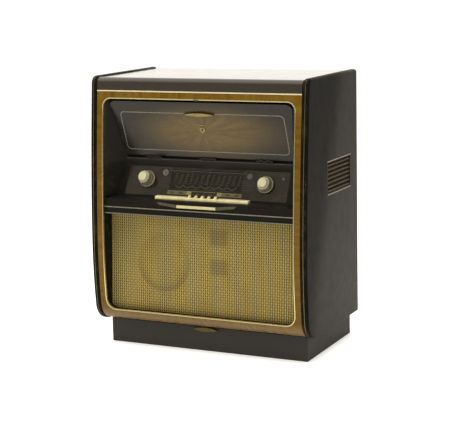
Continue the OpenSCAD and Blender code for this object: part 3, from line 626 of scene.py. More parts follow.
def black_lacquer(name):
    """Black lacquer with dust, smears and scratches."""
    g, p = new_material(name)
    tint = (0.0130, 0.0118, 0.0094)
    dust = g.fade(g.noise(p, size=0.9, detail=2.0, rough=0.7), over=(0.66, 0.74), to=(0.0, 0.5))
    smear = g.noise(g.stretch(p, (0.25, 1, 1)), size=34.0, detail=4.0, rough=0.6, warp=0.6)
    col = g.mix(g.times(dust, g.fade(smear, over=(0.45, 0.7))), tint, (0.024, 0.022, 0.018))
    col = g.mix(g.fade(smear, over=(0.4, 0.75), to=(0.0, 0.6)), col, shade(tint, 1.8))
    col = g.mix(g.scratches(p, size=34.0, width=0.003, amount=0.4), col, (0.06, 0.055, 0.045))
    # painted shade darkens it below the dial, painted light makes it paler along its top ledge
    z = g.split(p)[2]
    col = g.mix(g.fade(z, over=(484.0, 540.0), to=(0.45, 0.0)), col, (0.0040, 0.0037, 0.0030))
    col = g.mix(g.fade(z, over=(604.0, 620.0), to=(0.0, 0.8)), col, (0.0245, 0.0226, 0.0184))
    roughness = g.add(g.uneven(smear, to=(0.16, 0.30)), g.times(dust, 0.2))
    return g.bsdf(Base_Color=col, Roughness=roughness,
                  Normal=g.bump(g.noise(p, size=12.0), depth=0.035), Coat_Weight=0.0,
                  Coat_Roughness=0.08, Specular_IOR_Level=0.04,
                  Specular_Tint=(1.0, 0.94, 0.82))


def timber_board(name, base, dark, rough=0.55, size=3.0, fibre=False, black_front=None):
    """Timber, or with fibre a pressed board. black_front (y, z) blackens it ahead of y below z."""
    g, p = new_material(name)
    v = p if fibre else g.stretch(p, (0.04, 1.0, 1.0))
    grain = g.noise(v, size=size, detail=5.0, rough=0.62, warp=0.4)
    figure = g.noise(v, size=size * 6, warp=0.8)
    cloud = g.noise(p, size=120.0)
    tone = g.add(g.times(grain, 0.6), g.times(figure, 0.4))
    col = g.mix(g.fade(tone, over=(0.34, 0.66)), dark, base)
    col = g.mix(g.fade(cloud, over=(0.4, 0.7), to=(0.0, 0.3)), col, shade(dark, 0.6))
    if black_front:
        _, y, z = g.split(p)
        black = g.times(g.math("LESS_THAN", y, black_front[0]),
                        g.math("LESS_THAN", z, black_front[1]))
        col = g.mix(black, col, (0.010, 0.009, 0.0075))
    return g.bsdf(Base_Color=col, Roughness=g.uneven(grain, to=(rough - 0.06, rough + 0.12)),
                  Normal=g.bump(tone, depth=0.16 if fibre else 0.10))


# ---------------------------------------------------------------- metal, plastic, cloth, glass
def metal(name, base, patina, rough, amount, metallic=1.0, stile_shade=None):
    """Metal with clouds and spots of patina; the last argument is a darker colour painted on the
    bezel's uprights as shade.
    """
    g, p = new_material(name)
    cloud = g.noise(p, size=7.0, detail=5.0, rough=0.65, warp=0.4)
    fine = g.noise(g.stretch(p, (1, 1, 1)), size=0.7, rough=0.6)
    spots = g.fade(g.noise(p, size=1.6, rough=0.7), over=(0.62, 0.74))
    col = g.mix(g.fade(cloud, over=(0.38, 0.72), to=(0.0, amount)), base, patina)
    col = g.mix(g.times(spots, amount * 0.8), col, shade(patina, 0.5))
    col = g.mix(g.fade(fine, over=(0.3, 0.8), to=(0.0, 0.25)), col, shade(base, 0.7))
    if stile_shade:
        # painted shade: the bezel's uprights darkened between their corners
        x, _, z = g.split(p)
        beside = g.fade(g.absolute(x), over=(OPEN_HALF_W - 14.0, OPEN_HALF_W - 4.0))
        under = g.fade(z, over=(OPEN_Z1 - 60.0, OPEN_Z1 - 10.0), to=(1.0, 0.0))
        stile = g.times(beside, g.times(under, g.fade(z, over=(220.0, 330.0))))
        col = g.mix(g.times(stile, 0.85), col, stile_shade)
    roughness = g.add(g.fade(cloud, over=(0.3, 0.75), to=(rough - 0.05, rough + 0.15)),
                      g.times(spots, 0.15))
    normal = g.bump(g.add(g.times(fine, 0.5), g.times(cloud, 0.5)), depth=0.03)
    return g.bsdf(Base_Color=col, Roughness=roughness, Metallic=metallic, Normal=normal)


def plastic(name, base, dark, rough, subsurface=0.08, grime=0.45, coat=0.2, specular=0.5):
    g, p = new_material(name)
    cloud = g.noise(p, size=9.0, detail=4.0, rough=0.6)
    streak = g.noise(g.stretch(p, (1.0, 0.35, 0.35)), size=1.3, rough=0.6)
    spots = g.fade(g.noise(p, size=0.8, detail=2.0, rough=0.6), over=(0.66, 0.76))
    col = g.mix(g.fade(cloud, over=(0.35, 0.75), to=(0.0, grime)), base, dark)
    col = g.mix(g.fade(streak, over=(0.45, 0.8), to=(0.0, 0.3)), col, dark)
    col = g.mix(g.times(spots, 0.5), col, shade(dark, 0.45))
    return g.bsdf(Base_Color=col, Roughness=g.uneven(cloud, to=(rough - 0.06, rough + 0.12)),
                  Normal=g.bump(g.add(g.times(streak, 0.4), cloud), depth=0.03),
                  Subsurface_Weight=subsurface, Subsurface_Radius=(0.004, 0.003, 0.0015),
                  Coat_Weight=coat, Coat_Roughness=0.12, Specular_IOR_Level=specular)


def knob_cap_plastic(name):
    """Dull ivory face above a side of the same ivory painted dark olive as shade."""
    g, p = new_material(name)
    # the side colour is painted shade: the face's ivory made dark olive
    face, side = (0.49, 0.455, 0.285), (0.155, 0.140, 0.072)
    x, _, w = g.split(g.local(DIAL))
    # both caps are measured as if they had the tuning cap's height
    height = g.sub(w, g.times(g.math("LESS_THAN", x, 0.0), VOLUME_H - TUNING_H))
    cloud = g.noise(p, size=7.0, detail=4.0, rough=0.6)
    face_col = g.mix(g.fade(cloud, over=(0.35, 0.75), to=(0.0, 0.5)), face, shade(face, 0.72))
    shaded_side_col = g.mix(g.fade(cloud, over=(0.35, 0.75), to=(0.0, 0.6)), side, shade(side, 0.55))
    col = g.mix(g.fade(height, over=(24.2, 25.4)), shaded_side_col, face_col)
    return g.bsdf(Base_Color=col, Roughness=g.uneven(cloud, to=(0.23, 0.40)),
                  Normal=g.bump(cloud, depth=0.03), Subsurface_Weight=0.05,
                  Subsurface_Radius=(0.003, 0.0025, 0.0015), Coat_Weight=0.2,
                  Coat_Roughness=0.12)


def knob_flange_plastic(name):
    """Smoky olive, turned in rings, with painted light and shade in bands along the rings,
    brightest as a painted highlight on the rim.
    """
    g, p = new_material(name)
    x, v, _ = g.split(g.local(DIAL))
    r = g.hypot(g.sub(g.absolute(x), KNOB_X), g.sub(v, KNOB_V))
    cloud = g.noise(p, size=6.0, detail=4.0, rough=0.6)
    # painted light and shade: bands by radius that follow the turned rings, brightest on the outer
    # rim
    col = g.ramp(g.math("DIVIDE", r, KNOB_R),
                 (0.60, (0.105, 0.096, 0.050)), (0.72, (0.190, 0.175, 0.095)),
                 (0.76, (0.085, 0.078, 0.042)), (0.86, (0.150, 0.136, 0.084)),
                 (0.90, (0.110, 0.100, 0.062)), (0.95, (0.310, 0.292, 0.190)),
                 (1.0, (0.200, 0.188, 0.118)))
    col = g.mix(g.fade(cloud, over=(0.35, 0.75), to=(0.0, 0.45)), col, (0.110, 0.096, 0.055))
    return g.bsdf(Base_Color=col, Roughness=g.uneven(cloud, to=(0.18, 0.32)),
                  Normal=g.bump(cloud, depth=0.03), Coat_Weight=0.4, Coat_Roughness=0.10)


def yarn(name):
    """Twisted gold yarn, with painted shade over the openings behind the cloth and along its foot.
    """
    g, _ = new_material(name)
    along, around, yarn_id = g.attr("t_along"), g.attr("t_around"), g.attr("t_id")
    twist = g.add(g.times(around, 5.0), g.times(along, 0.16))
    strand = g.absolute(g.math("SINE", g.times(twist, math.pi)))
    fuzz = g.noise(g.combine(g.times(along, 0.5), g.times(around, 9.0),
                             g.times(yarn_id, 31.0)), size=1.0, rough=0.6)
    cloud = g.noise(g.mm(), size=95.0)
    tone = g.add(g.times(strand, 0.55), g.times(fuzz, 0.45))
    warp = g.ramp(tone, (0.12, (0.153, 0.103, 0.018)), (0.5, (0.359, 0.268, 0.052)),
                  (0.9, (0.510, 0.397, 0.095)))
    weft = g.ramp(tone, (0.12, (0.086, 0.055, 0.009)), (0.5, (0.240, 0.172, 0.032)),
                  (0.9, (0.393, 0.297, 0.064)))
    col = g.mix(g.attr("t_weft"), warp, weft)
    varied = g.fade(yarn_id, over=(0.0, 1.0), to=(0.0, 0.22), linear=True)
    col = g.mix(varied, col, (0.195, 0.132, 0.028))
    col = g.mix(g.fade(cloud, over=(0.36, 0.72), to=(0.0, 0.22)), col, (0.165, 0.110, 0.024))
    x, v, _ = g.split(g.local(CLOTH))

    def inside(axis, centre, half):
        """1 within half of the centre, with a soft edge."""
        return g.fade(g.absolute(g.sub(axis, centre)), over=(half - 9, half + 7), to=(1.0, 0.0))

    # painted shade: a ring about (-141, -142.3), darker towards its lower side, two squarish
    # patches, and a strip along the foot
    dx, dv = g.sub(x, -141.0), g.sub(v, -142.3)
    r = g.hypot(dx, dv)
    ring = g.times(g.fade(r, over=(60.0, 92.0)), g.fade(r, over=(93.0, 99.0), to=(1.0, 0.0)))
    lower = g.fade(dv, over=(-60.0, 40.0), to=(1.0, 0.35))
    patches = [g.times(inside(x, cx, 33.0), inside(v, cv, 27.0))
               for cx, cv in ((58.0, -49.0), (59.0, -145.0))]
    dim = g.math("MAXIMUM", g.math("MAXIMUM", *patches), g.times(ring, lower))
    dim = g.math("MAXIMUM", dim, g.fade(v, over=(-306.0, -284.0), to=(1.0, 0.0)))
    col = g.mix(g.times(dim, 0.34), col, (0.035, 0.022, 0.006))
    glint = g.fade(g.noise(g.combine(along, g.times(around, 12.0), yarn_id), size=1.4,
                           detail=2.0), over=(0.52, 0.66), to=(0.0, 0.55))
    roughness = g.fade(strand, over=(0.0, 1.0), to=(0.62, 0.40), linear=True)
    return g.bsdf(Base_Color=col, Roughness=roughness, Metallic=g.times(glint, 0.6),
                  Normal=g.bump(g.add(strand, g.times(fuzz, 0.5)), depth=0.22),
                  Sheen_Weight=0.25, Sheen_Roughness=0.4)


def scrim_cloth(name):
    """Dark brown face of the baffle, seen through the weave."""
    g, p = new_material(name)
    grain = g.noise(g.stretch(p, (1, 1, 0.4)), size=1.6)
    col = g.ramp(grain, (0.3, (0.006, 0.004, 0.0012)), (0.7, (0.014, 0.0095, 0.003)))
    return g.bsdf(Base_Color=col, Roughness=0.85, Normal=g.bump(grain, depth=0.1))


def dark_glass(name):
    """Hazy dial glass, paler to the sides and partly clear in a middle window."""
    g, p = new_material(name)
    haze = g.noise(p, size=45.0, detail=4.0, rough=0.6)
    dust = g.fade(g.noise(p, size=0.8, detail=2.0, rough=0.7), over=(0.68, 0.76), to=(0.0, 0.6))
    col = g.mix(g.fade(haze, over=(0.4, 0.75), to=(0.0, 0.6)),
                (0.0150, 0.0122, 0.0070), (0.0235, 0.0190, 0.0112))
    col = g.mix(dust, col, (0.05, 0.047, 0.038))
    x, v, _ = g.split(g.local(DIAL))
    sides = g.fade(g.absolute(g.add(x, 6.0)), over=(120.0, 275.0), to=(0.0, 0.46))
    col = g.mix(sides, col, (0.032, 0.0265, 0.0150))
    window = g.times(g.fade(g.absolute(x), over=(128.0, 131.0), to=(1.0, 0.0)),
                     g.fade(g.absolute(g.sub(v, 63.0)), over=(38.0, 40.0), to=(1.0, 0.0)))
    g.owner.surface_render_method = "BLENDED"
    return g.bsdf(Base_Color=col, Roughness=g.uneven(haze, to=(0.05, 0.15)),
                  Normal=g.bump(haze, depth=0.02), Alpha=g.sub(1.0, g.times(window, 0.42)),
                  Coat_Weight=0.3, Coat_Roughness=0.04)


def paint(name, base, dim):
    g, p = new_material(name)
    cloud = g.noise(p, size=3.0, detail=4.0, rough=0.7)
    return g.bsdf(Base_Color=g.mix(g.fade(cloud, over=(0.35, 0.7)), base, dim),
                  Roughness=g.uneven(cloud, to=(0.35, 0.55)), Metallic=0.2,
                  Normal=g.bump(cloud, depth=0.02))


def clear_glass(name):
    g, p = new_material(name)
    base = (0.55, 0.57, 0.56)
    cloud = g.noise(p, size=14.0)
    g.owner.surface_render_method = "BLENDED"
    return g.bsdf(Base_Color=g.mix(g.uneven(cloud, to=(0.0, 1.0)), base, shade(base, 0.7)),
                  Roughness=g.uneven(cloud, to=(0.04, 0.12)), Alpha=0.38,
                  Normal=g.bump(cloud, depth=0.02), Specular_IOR_Level=0.7)


def rubber(name, base, centre=None):
    """Rubber; centre (x, y) ribs it in circles about that point."""
    g, p = new_material(name)
    cloud = g.noise(p, size=4.0, detail=4.0)
    relief = cloud
    if centre:
        x, y, _ = g.split(p)
        r = g.hypot(g.sub(x, centre[0]), g.sub(y, centre[1]))
        ribs = g.math("SINE", g.times(r, 2.0))
        relief = g.add(g.times(ribs, 0.8), cloud)
    return g.bsdf(Base_Color=g.mix(g.fade(cloud, over=(0.35, 0.7)), base, shade(base, 2.2)),
                  Roughness=g.uneven(cloud, to=(0.55, 0.78)), Normal=g.bump(relief, depth=0.25))


# ---------------------------------------------------------------- material list
EBON = ebonised_wood("ebonised_wood", rough=0.40)
EBON_TOP = ebonised_wood("ebonised_top", rough=0.13, top=True)
PLINTH = ebonised_wood("plinth_lacquer", rough=0.42, specular=0.04, lift=0.42)
WALNUT = walnut_crossband("walnut_crossband")
BURST = sunburst_veneer("sunburst_veneer")
LACQUER = black_lacquer("black_lacquer")
PLY_COLOURS = ((0.33, 0.215, 0.105), (0.20, 0.12, 0.052))
PLY = timber_board("plywood", *PLY_COLOURS)
DECK_PLY = timber_board("deck_plywood", *PLY_COLOURS, black_front=(-80.5, 634.2))
BOARD = timber_board("hardboard", (0.235, 0.135, 0.065), (0.150, 0.080, 0.036),
                     rough=0.6, size=1.6, fibre=True)
CONE = timber_board("speaker_cone", (0.020, 0.019, 0.018), (0.009, 0.009, 0.009),
                    rough=0.8, fibre=True)

BRASS = metal("aged_brass", (0.74, 0.62, 0.34), (0.42, 0.32, 0.13),
              rough=0.26, amount=0.45, metallic=0.8)
# bezel brass, with painted shade on its uprights
BEZEL = metal("bezel_brass", (0.66, 0.56, 0.265), (0.40, 0.32, 0.12),
              rough=0.28, amount=0.45, metallic=0.8, stile_shade=(0.32, 0.245, 0.110))
LINE_BRASS = metal("polished_line", (0.86, 0.76, 0.50), (0.60, 0.50, 0.26),
                   rough=0.30, amount=0.3, metallic=0.55)
OLIVE_BRASS = metal("olive_brass", (0.19, 0.185, 0.095), (0.10, 0.095, 0.045),
                    rough=0.42, amount=0.6)
SHELF_BRASS = metal("shelf_brass", (0.215, 0.21, 0.145), (0.12, 0.115, 0.075),
                    rough=0.38, amount=0.5, metallic=0.6)
WING = metal("wing_brass", (0.105, 0.100, 0.062), (0.055, 0.051, 0.031), rough=0.45, amount=0.6)
# brass painted dark as the shade under the frame's curl
SHADED_ORNAMENT = metal("ornament_brass_painted_shade", (0.125, 0.110, 0.042), (0.05, 0.043, 0.018),
                 rough=0.45, amount=0.6)
PULL_BRASS = metal("antique_brass", (0.26, 0.20, 0.085), (0.10, 0.075, 0.03),
                   rough=0.34, amount=0.6)
BAND = metal("band_metal", (0.60, 0.56, 0.42), (0.30, 0.27, 0.18),
             rough=0.22, amount=0.3, metallic=0.7)
# lighter metal for the vent beads: painted highlight lines along the vent frame's top and foot
BEAD_HIGHLIGHT = metal("vent_highlight_bead", (0.20, 0.19, 0.15), (0.10, 0.09, 0.065),
             rough=0.36, amount=0.6, metallic=0.5)
BLACKED = metal("blackened_steel", (0.009, 0.0085, 0.008), (0.006, 0.005, 0.004),
                rough=0.70, amount=0.5, metallic=0.1)
LAMP_RING = metal("lamp_ring", (0.22, 0.21, 0.155), (0.12, 0.11, 0.075),
                  rough=0.36, amount=0.5, metallic=0.5)
LAMP_DIM = metal("lamp_ring_dim", (0.085, 0.083, 0.070), (0.05, 0.048, 0.038),
                 rough=0.38, amount=0.5, metallic=0.5)
STEEL = metal("zinc_steel", (0.52, 0.53, 0.52), (0.30, 0.29, 0.25), rough=0.34, amount=0.4)
DARK_STEEL = metal("dark_steel", (0.11, 0.11, 0.115), (0.06, 0.05, 0.045),
                   rough=0.42, amount=0.5)
CHROME = metal("chrome", (0.78, 0.78, 0.77), (0.45, 0.43, 0.38), rough=0.10, amount=0.18)
ALUMINIUM = metal("cast_aluminium", (0.62, 0.62, 0.60), (0.42, 0.41, 0.37),
                  rough=0.38, amount=0.3)

IVORY = plastic("aged_ivory", (0.76, 0.70, 0.385), (0.53, 0.44, 0.19), rough=0.30)
BAR_IVORY = plastic("bar_ivory", (0.52, 0.455, 0.235), (0.38, 0.30, 0.12), rough=0.34)
IVORY_B = plastic("aged_ivory_b", (0.71, 0.64, 0.335), (0.48, 0.39, 0.15), rough=0.32)
VENT = plastic("brown_vent", (0.044, 0.030, 0.0165), (0.026, 0.017, 0.009),
               rough=0.45, subsurface=0.0, grime=0.6, coat=0.0, specular=0.06)
CREAM = plastic("cream_paint", (0.66, 0.62, 0.49), (0.52, 0.47, 0.34),
                rough=0.36, subsurface=0.0, grime=0.5)
CAP = knob_cap_plastic("knob_cap")
FLANGE = knob_flange_plastic("smoky_flange")
YARN = yarn("gold_yarn")
SCRIM = scrim_cloth("scrim")
GLASS = dark_glass("dial_glass")
TUBE = clear_glass("valve_glass")
MAT_RUBBER = rubber("platter_rubber", (0.035, 0.026, 0.019), centre=(-40.0, 42.0))
CORD = rubber("cord_rubber", (0.016, 0.013, 0.011))

INLAY = paint("inlay_line", (0.215, 0.205, 0.135), (0.13, 0.125, 0.08))
# painted highlight on the vent slats' edges
SLAT_HIGHLIGHT = paint("slat_edge_highlight", (0.072, 0.060, 0.040), (0.042, 0.034, 0.023))
SCALE = paint("scale_plate", (0.055, 0.042, 0.022), (0.032, 0.024, 0.012))
PRINT = paint("printed_olive", (0.082, 0.074, 0.040), (0.048, 0.043, 0.024))
PRINT_GOLD = paint("printed_gold", (0.250, 0.215, 0.070), (0.150, 0.130, 0.040))
PRINT_TAN = paint("printed_tan", (0.115, 0.110, 0.050), (0.070, 0.062, 0.030))
PRINT_DARK = paint("printed_dark", (0.030, 0.026, 0.018), (0.016, 0.014, 0.010))
LENS_OLIVE = paint("lens_olive", (0.115, 0.108, 0.045), (0.07, 0.064, 0.027))
LENS_GREY = paint("lens_grey", (0.078, 0.080, 0.082), (0.050, 0.050, 0.050))
# painted highlight for the dial glass's edge
GLASS_EDGE_HIGHLIGHT = paint("glass_edge_highlight", (0.052, 0.050, 0.042), (0.034, 0.032, 0.026))
# painted highlight along the dial surround's top front edge
LEDGE_HIGHLIGHT = paint("ledge_highlight", (0.082, 0.076, 0.055), (0.050, 0.046, 0.034))
POINTER = paint("pointer_paint", (0.62, 0.40, 0.16), (0.45, 0.25, 0.08))


# ---------------------------------------------------------------- side panels
def panel_outline():
    """(y, z, edge radius) round a side panel: up the front from the plinth joint, over the
    top, down the back and forward along the foot."""
    points = []
    steps = 30
    for i in range(steps + 1):
        a = math.radians(270) - i * (QUARTER - FOOT_ANGLE) / steps
        grow = min(1, i / (steps * 0.5))
        points.append((FOOT_CY + FOOT_R * math.cos(a), FOOT_CZ + FOOT_R * math.sin(a),
                       EDGE_SMALL_R + (EDGE_R - EDGE_SMALL_R) * grow))
    steps = 66
    first, last = FOOT_Z + 5, CROWN_Z - 4
    for i in range(steps + 1):
        z = first + (last - first) * i / steps
        points.append((front_y(z), z, EDGE_R))
    steps = 18
    for i in range(steps + 1):
        a = math.pi - CROWN_ANGLE - i * (QUARTER - CROWN_ANGLE) / steps
        points.append((CROWN_CY + CROWN_R * math.cos(a), CROWN_CZ + CROWN_R * math.sin(a),
                       EDGE_R))
    points += [(float(y), BODY_H, EDGE_R) for y in range(-120, 200, 20)]
    steps, corner_r = 8, 10
    for i in range(steps + 1):
        a = QUARTER - i * QUARTER / steps
        points.append((BACK_Y - corner_r + corner_r * math.cos(a),
                       BODY_H - corner_r + corner_r * math.sin(a),
                       EDGE_R - (EDGE_R - EDGE_SMALL_R) * i / steps))
    points += [(BACK_Y, float(z), EDGE_SMALL_R) for z in range(850, 100, -50)]
    points.append((BACK_Y, PLINTH_H, EDGE_SMALL_R))
    points += [(float(y), PLINTH_H, EDGE_SMALL_R) for y in range(200, -140, -24)]
    return points


def outline_mitres(outline):
    """Outward (y, z) offsets that keep both neighbouring sides at unit distance."""
    mitres = []
    for i, b in enumerate(outline):
        a, c = outline[i - 1], outline[(i + 1) % len(outline)]
        before = Vector((b[0] - a[0], b[1] - a[1])).normalized()
        after = Vector((c[0] - b[0], c[1] - b[1])).normalized()
        normal = Vector((-before.y, before.x))
        middle = (normal + Vector((-after.y, after.x))).normalized()
        length = 1.0 / max(0.5, middle.dot(normal))
        mitres.append((middle.x * length, middle.y * length))
    return mitres


def side_panel(sign, node):
    outline = panel_outline()
    count = len(outline)
    mitres = outline_mitres(outline)
    steps = 9  # per quarter round
    rings, edge = [], []
    for inner_half in (True, False):
        for k in (range(steps + 1) if inner_half else range(steps, -1, -1)):
            phase = QUARTER * k / steps
            ring = []
            for (y, z, radius), (ny, nz) in zip(outline, mitres):
                inset = radius * (1 - math.sin(phase))
                rise = radius * (1 - math.cos(phase))
                x = INNER_X + rise if inner_half else HALF_W - rise
                ring.append((sign * x, y - ny * inset, z - nz * inset))
                edge.append(math.sin(phase) * (1 if radius > 4 else 0.75))
            rings.append(ring)
    verts, faces = loft(rings)
    # flat faces with the vent opening cut through
    hole = [(VENT_Y0, VENT_Z0), (VENT_Y1, VENT_Z0), (VENT_Y1, VENT_Z1), (VENT_Y0, VENT_Z1)]
    base = len(verts)
    for x in (INNER_X, HALF_W):
        verts += [(sign * x, y, z) for y, z in hole]
    edge += [0.0] * 8
    hole_loop = [Vector((y, z, 0)) for y, z in hole]
    for ring_index, hole_start in ((0, base), (len(rings) - 1, base + 4)):
        loop = [Vector((p[1], p[2], 0)) for p in rings[ring_index]]
        for face in geometry.tessellate_polygon([loop, hole_loop]):
            faces.append(tuple(ring_index * count + i if i < count else hole_start + i - count
                               for i in face))
    for i in range(4):
        j = (i + 1) % 4
        faces.append((base + i, base + j, base + 4 + j, base + 4 + i))
    ob = add_mesh(node + "_shell", (verts, faces), EBON, smooth=40,
                  attrs={"edge": edge})
    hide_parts(node)


def edge_line(sign, name):
    """Thin line inlaid along the middle of a side panel's front edge."""
    middle, width, proud, sunk = (INNER_X + HALF_W) / 2, 1.7, 0.12, -0.6
    section = ((-0.5, sunk), (-0.5, proud * 0.5), (-0.3, proud),
               (0.3, proud), (0.5, proud * 0.5), (0.5, sunk))  # (of the width, height)
    path = [(y, z) for y, z, _ in panel_outline() if y < -60 and z > PLINTH_H + 4][:-1]
    path = [p for i, p in enumerate(path) if i == 0 or math.dist(p, path[i - 1]) > 0.5]

    def depth(x):
        """Depth of the rounded edge below its crest."""
        off = min(x - INNER_X, HALF_W - x)
        return 0.0 if off >= EDGE_R else EDGE_R * (1 - math.sin(math.acos(1 - off / EDGE_R)))

    rings = []
    for i, (y, z) in enumerate(path):
        a, b = path[max(0, i - 1)], path[min(len(path) - 1, i + 1)]
        run = Vector((b[0] - a[0], b[1] - a[1])).normalized()
        ring = []
        for across, up in section:
            x = middle + across * width
            out = up - depth(x)
            ring.append((sign * x, y - run.y * out, z + run.x * out))
        rings.append(ring)
    add_mesh(name, capped(rings), OLIVE_BRASS)


side_panel(1, "side_panel_right")
side_panel(-1, "side_panel_left")
edge_line(1, "edge_line_right")
edge_line(-1, "edge_line_left")


# ---------------------------------------------------------------- top panel
def top_panel():
    """Section (y, z) from under the rounded nose, over to the back; run across in 8 bays."""
    nose_r, back_r, thick, set_back = 21, 2, 18, 3
    nose_cy = front_y(TOP_Z - nose_r) + set_back + nose_r
    section = [(front_y(z) + set_back, z) for z in (851.0, 858.0, 865.0)]
    section += arc(nose_cy, TOP_Z - nose_r, nose_r, 180, 90, 22)
    section += [(y, TOP_Z) for y in (-60.0, 20.0, 100.0, 180.0)]
    section += arc(TOP_BACK_Y - back_r, TOP_Z - back_r, back_r, 90, 0, 3)
    section += [(TOP_BACK_Y, TOP_Z - thick), (-130.0, TOP_Z - thick), (-130.0, 851.0)]
    rings = [[(-INNER_X + 2 * INNER_X * i / 8, y, z) for y, z in section] for i in range(9)]
    shape = capped(rings)
    ob = add_mesh("top_shell", shape, EBON_TOP, smooth=40,
                  attrs={"edge": [0.0] * len(shape[0])})
    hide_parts("top_panel")


top_panel()


# ---------------------------------------------------------------- walnut frame and brass bezel
def walnut_frame():
    """Bowed board between the opening and a rectangle; each opening corner arc is shared
    between the two outer edges it faces."""
    gap, front_depth, back_depth, steps = 2.2, 3.0, 21.0, 14
    hx, z0, z1 = OPEN_HALF_W + gap, OPEN_Z0 - gap, OPEN_Z1 + gap
    top_r, bottom_r = OPEN_TOP_R + gap, OPEN_BOTTOM_R + gap

    def corner(side, angle, r, start, end):
        """Outer point for an angle on a corner arc: along the stile, then along the rail."""
        t = angle / QUARTER
        if t <= 0.5:
            return side * FRAME_X, start + (end - start) * t * 2
        return side * (hx - r + (FRAME_X - hx + r) * (2 - 2 * t)), end

    inner = opening(gap)
    outer = []  # (x, s)
    for x, z in inner:
        side = 1 if x >= 0 else -1
        if z >= z1 - top_r and abs(x) >= hx - top_r:
            angle = math.atan2(z - (z1 - top_r), abs(x) - (hx - top_r))
            point = corner(side, angle, top_r, z1 - top_r, FRAME_Z)
        elif z <= z0 + bottom_r and abs(x) >= hx - bottom_r:
            angle = math.atan2((z0 + bottom_r) - z, abs(x) - (hx - bottom_r))
            start = profile_s(z0 + bottom_r, front_depth)
            point = corner(side, angle, bottom_r, start, FOOT_END_S)
        elif abs(x) >= hx - 1e-6:
            point = (side * FRAME_X, profile_s(z, front_depth))
        else:
            point = (x, FRAME_Z if z > 400 else FOOT_END_S)
        outer.append(point)
    rings = []
    for depth, order in ((front_depth, range(steps + 1)), (back_depth, range(steps, -1, -1))):
        for k in order:
            t = k / steps
            ring = []
            for (x, z), (outer_x, outer_s) in zip(inner, outer):
                s = profile_s(z, depth)
                ring.append(on_front(x + (outer_x - x) * t, s + (outer_s - s) * t, depth))
            rings.append(ring)
    ob = add_mesh("walnut_frame", loft(rings, joined=True), WALNUT)
    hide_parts("front_frame")


# bezel section: (growth of the opening, depth below the panel edge)
BEZEL_SECTION = [(-2, 8.8), (-2, 3.0), (-1.75, 2.2), (-1.2, 1.65), (-0.5, 1.45),
                 (0.5, 1.45), (1.2, 1.65), (1.75, 2.2), (2, 3.0), (2, 8.8)]


def brass_bezel():
    rings = [[on_front(x, profile_s(z, depth), depth) for x, z in opening(grow)]
             for grow, depth in BEZEL_SECTION]
    ob = add_mesh("brass_bezel", loft(rings, joined=True), BEZEL)
    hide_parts("opening_bezel")


walnut_frame()
brass_bezel()


# ---------------------------------------------------------------- grille cloth
def grille_cloth():
    """Plain weave of flat yarns on the cloth plane: the upright warp, then the weft across."""
    x0, x1, v0, v1 = -337.2, 337.2, -310.0, 14.2
    pitch_x, pitch_v = 7.91, 8.55
    swing, half_thick, middle_w = 0.52, 0.52, -1.18
    sides, steps_per_pitch = 8, 4
    around = np.arange(sides) / sides * TURN + np.pi / sides
    flat = np.sign(np.cos(around)) * np.abs(np.cos(around)) ** 0.8
    # is weft, half width, across (start, end, pitch), along (start, end, pitch)
    layers = ((False, 2.06, (x0, x1, pitch_x), (v0, v1, pitch_v)),
              (True, 2.14, (v0, v1, pitch_v), (x0, x1, pitch_x)))
    verts, faces, attrs = [], [], {"t_along": [], "t_around": [], "t_id": [], "t_weft": []}
    start = 0
    for is_weft, half_width, (c0, c1, pitch), (a0, a1, period) in layers:
        for i in range(int(round((c1 - c0) / pitch))):
            yarn_id = float(random_yarn.random())
            centre = c0 + pitch * (i + 0.5) + random_yarn.normal() * 0.10
            sign = 1 if i % 2 == is_weft else -1
            count = int((a1 - a0) / period * steps_per_pitch) + 1
            t = np.linspace(a0, a1, count)
            wave = sign * np.sin(np.pi * (t - a0) / period)
            wander = (0.16 * np.sin(t * 0.021 + yarn_id * 40)
                      + 0.10 * np.sin(t * 0.083 + yarn_id * 91))
            width = half_width * (1.0 + 0.06 * wave)  # narrower where it dives under
            along = np.repeat(t[:, None], sides, axis=1)
            across = centre + wander[:, None] + width[:, None] * flat[None, :]
            w = (middle_w + swing * wave)[:, None] + half_thick * np.sin(around)[None, :]
            x, v = (along, across) if is_weft else (across, along)
            placed = on_cloth(np.clip(x, x0, x1), np.clip(v, v0, v1), w)
            verts.append(np.stack(placed, -1).reshape(-1, 3))
            index = start + np.arange(count * sides).reshape(count, sides)
            beside = np.roll(index, -1, 1)
            quads = np.stack([index[:-1], beside[:-1], beside[1:], index[1:]], -1)
            faces += quads.reshape(-1, 4).tolist()
            faces.append(index[0].tolist())
            faces.append(index[-1][::-1].tolist())
            attrs["t_along"].append(along.reshape(-1))
            attrs["t_around"].append(np.tile(around / TURN, count))
            attrs["t_id"].append(np.full(count * sides, yarn_id))
            attrs["t_weft"].append(np.full(count * sides, float(is_weft)))
            start += count * sides
    attrs = {key: np.concatenate(values) for key, values in attrs.items()}
    ob = add_mesh("woven_grille", (np.concatenate(verts).tolist(), faces), YARN,
                  smooth=60, attrs=attrs, weighted=False)
    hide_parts("grille_cloth")


grille_cloth()

# ---------------------------------------------------------------- pieces kept from the CAD
# node, material, slot, bevel width, bevel steps (2), dissolve flat edges (True), bevel angle (35)
for row in (
        ("plinth", PLINTH, "ebonised_wood", 1.6, 3),
        ("bottom_panel", PLY, "plywood", 0.8),
        ("back_cover", BOARD, "hardboard", 0.0, 2, False)):
    dress(*row)

# the brass trims, split by height
for name, mat, heights in ((None, LINE_BRASS, (700, math.inf)),
                           ("shelf_lines", SHELF_BRASS, (400, 700)),
                           ("plinth_ornament", SHADED_ORNAMENT, (0, 400))):
    dress("brass_trims", mat, "brass", width=0.5, name=name, keep_z=heights)

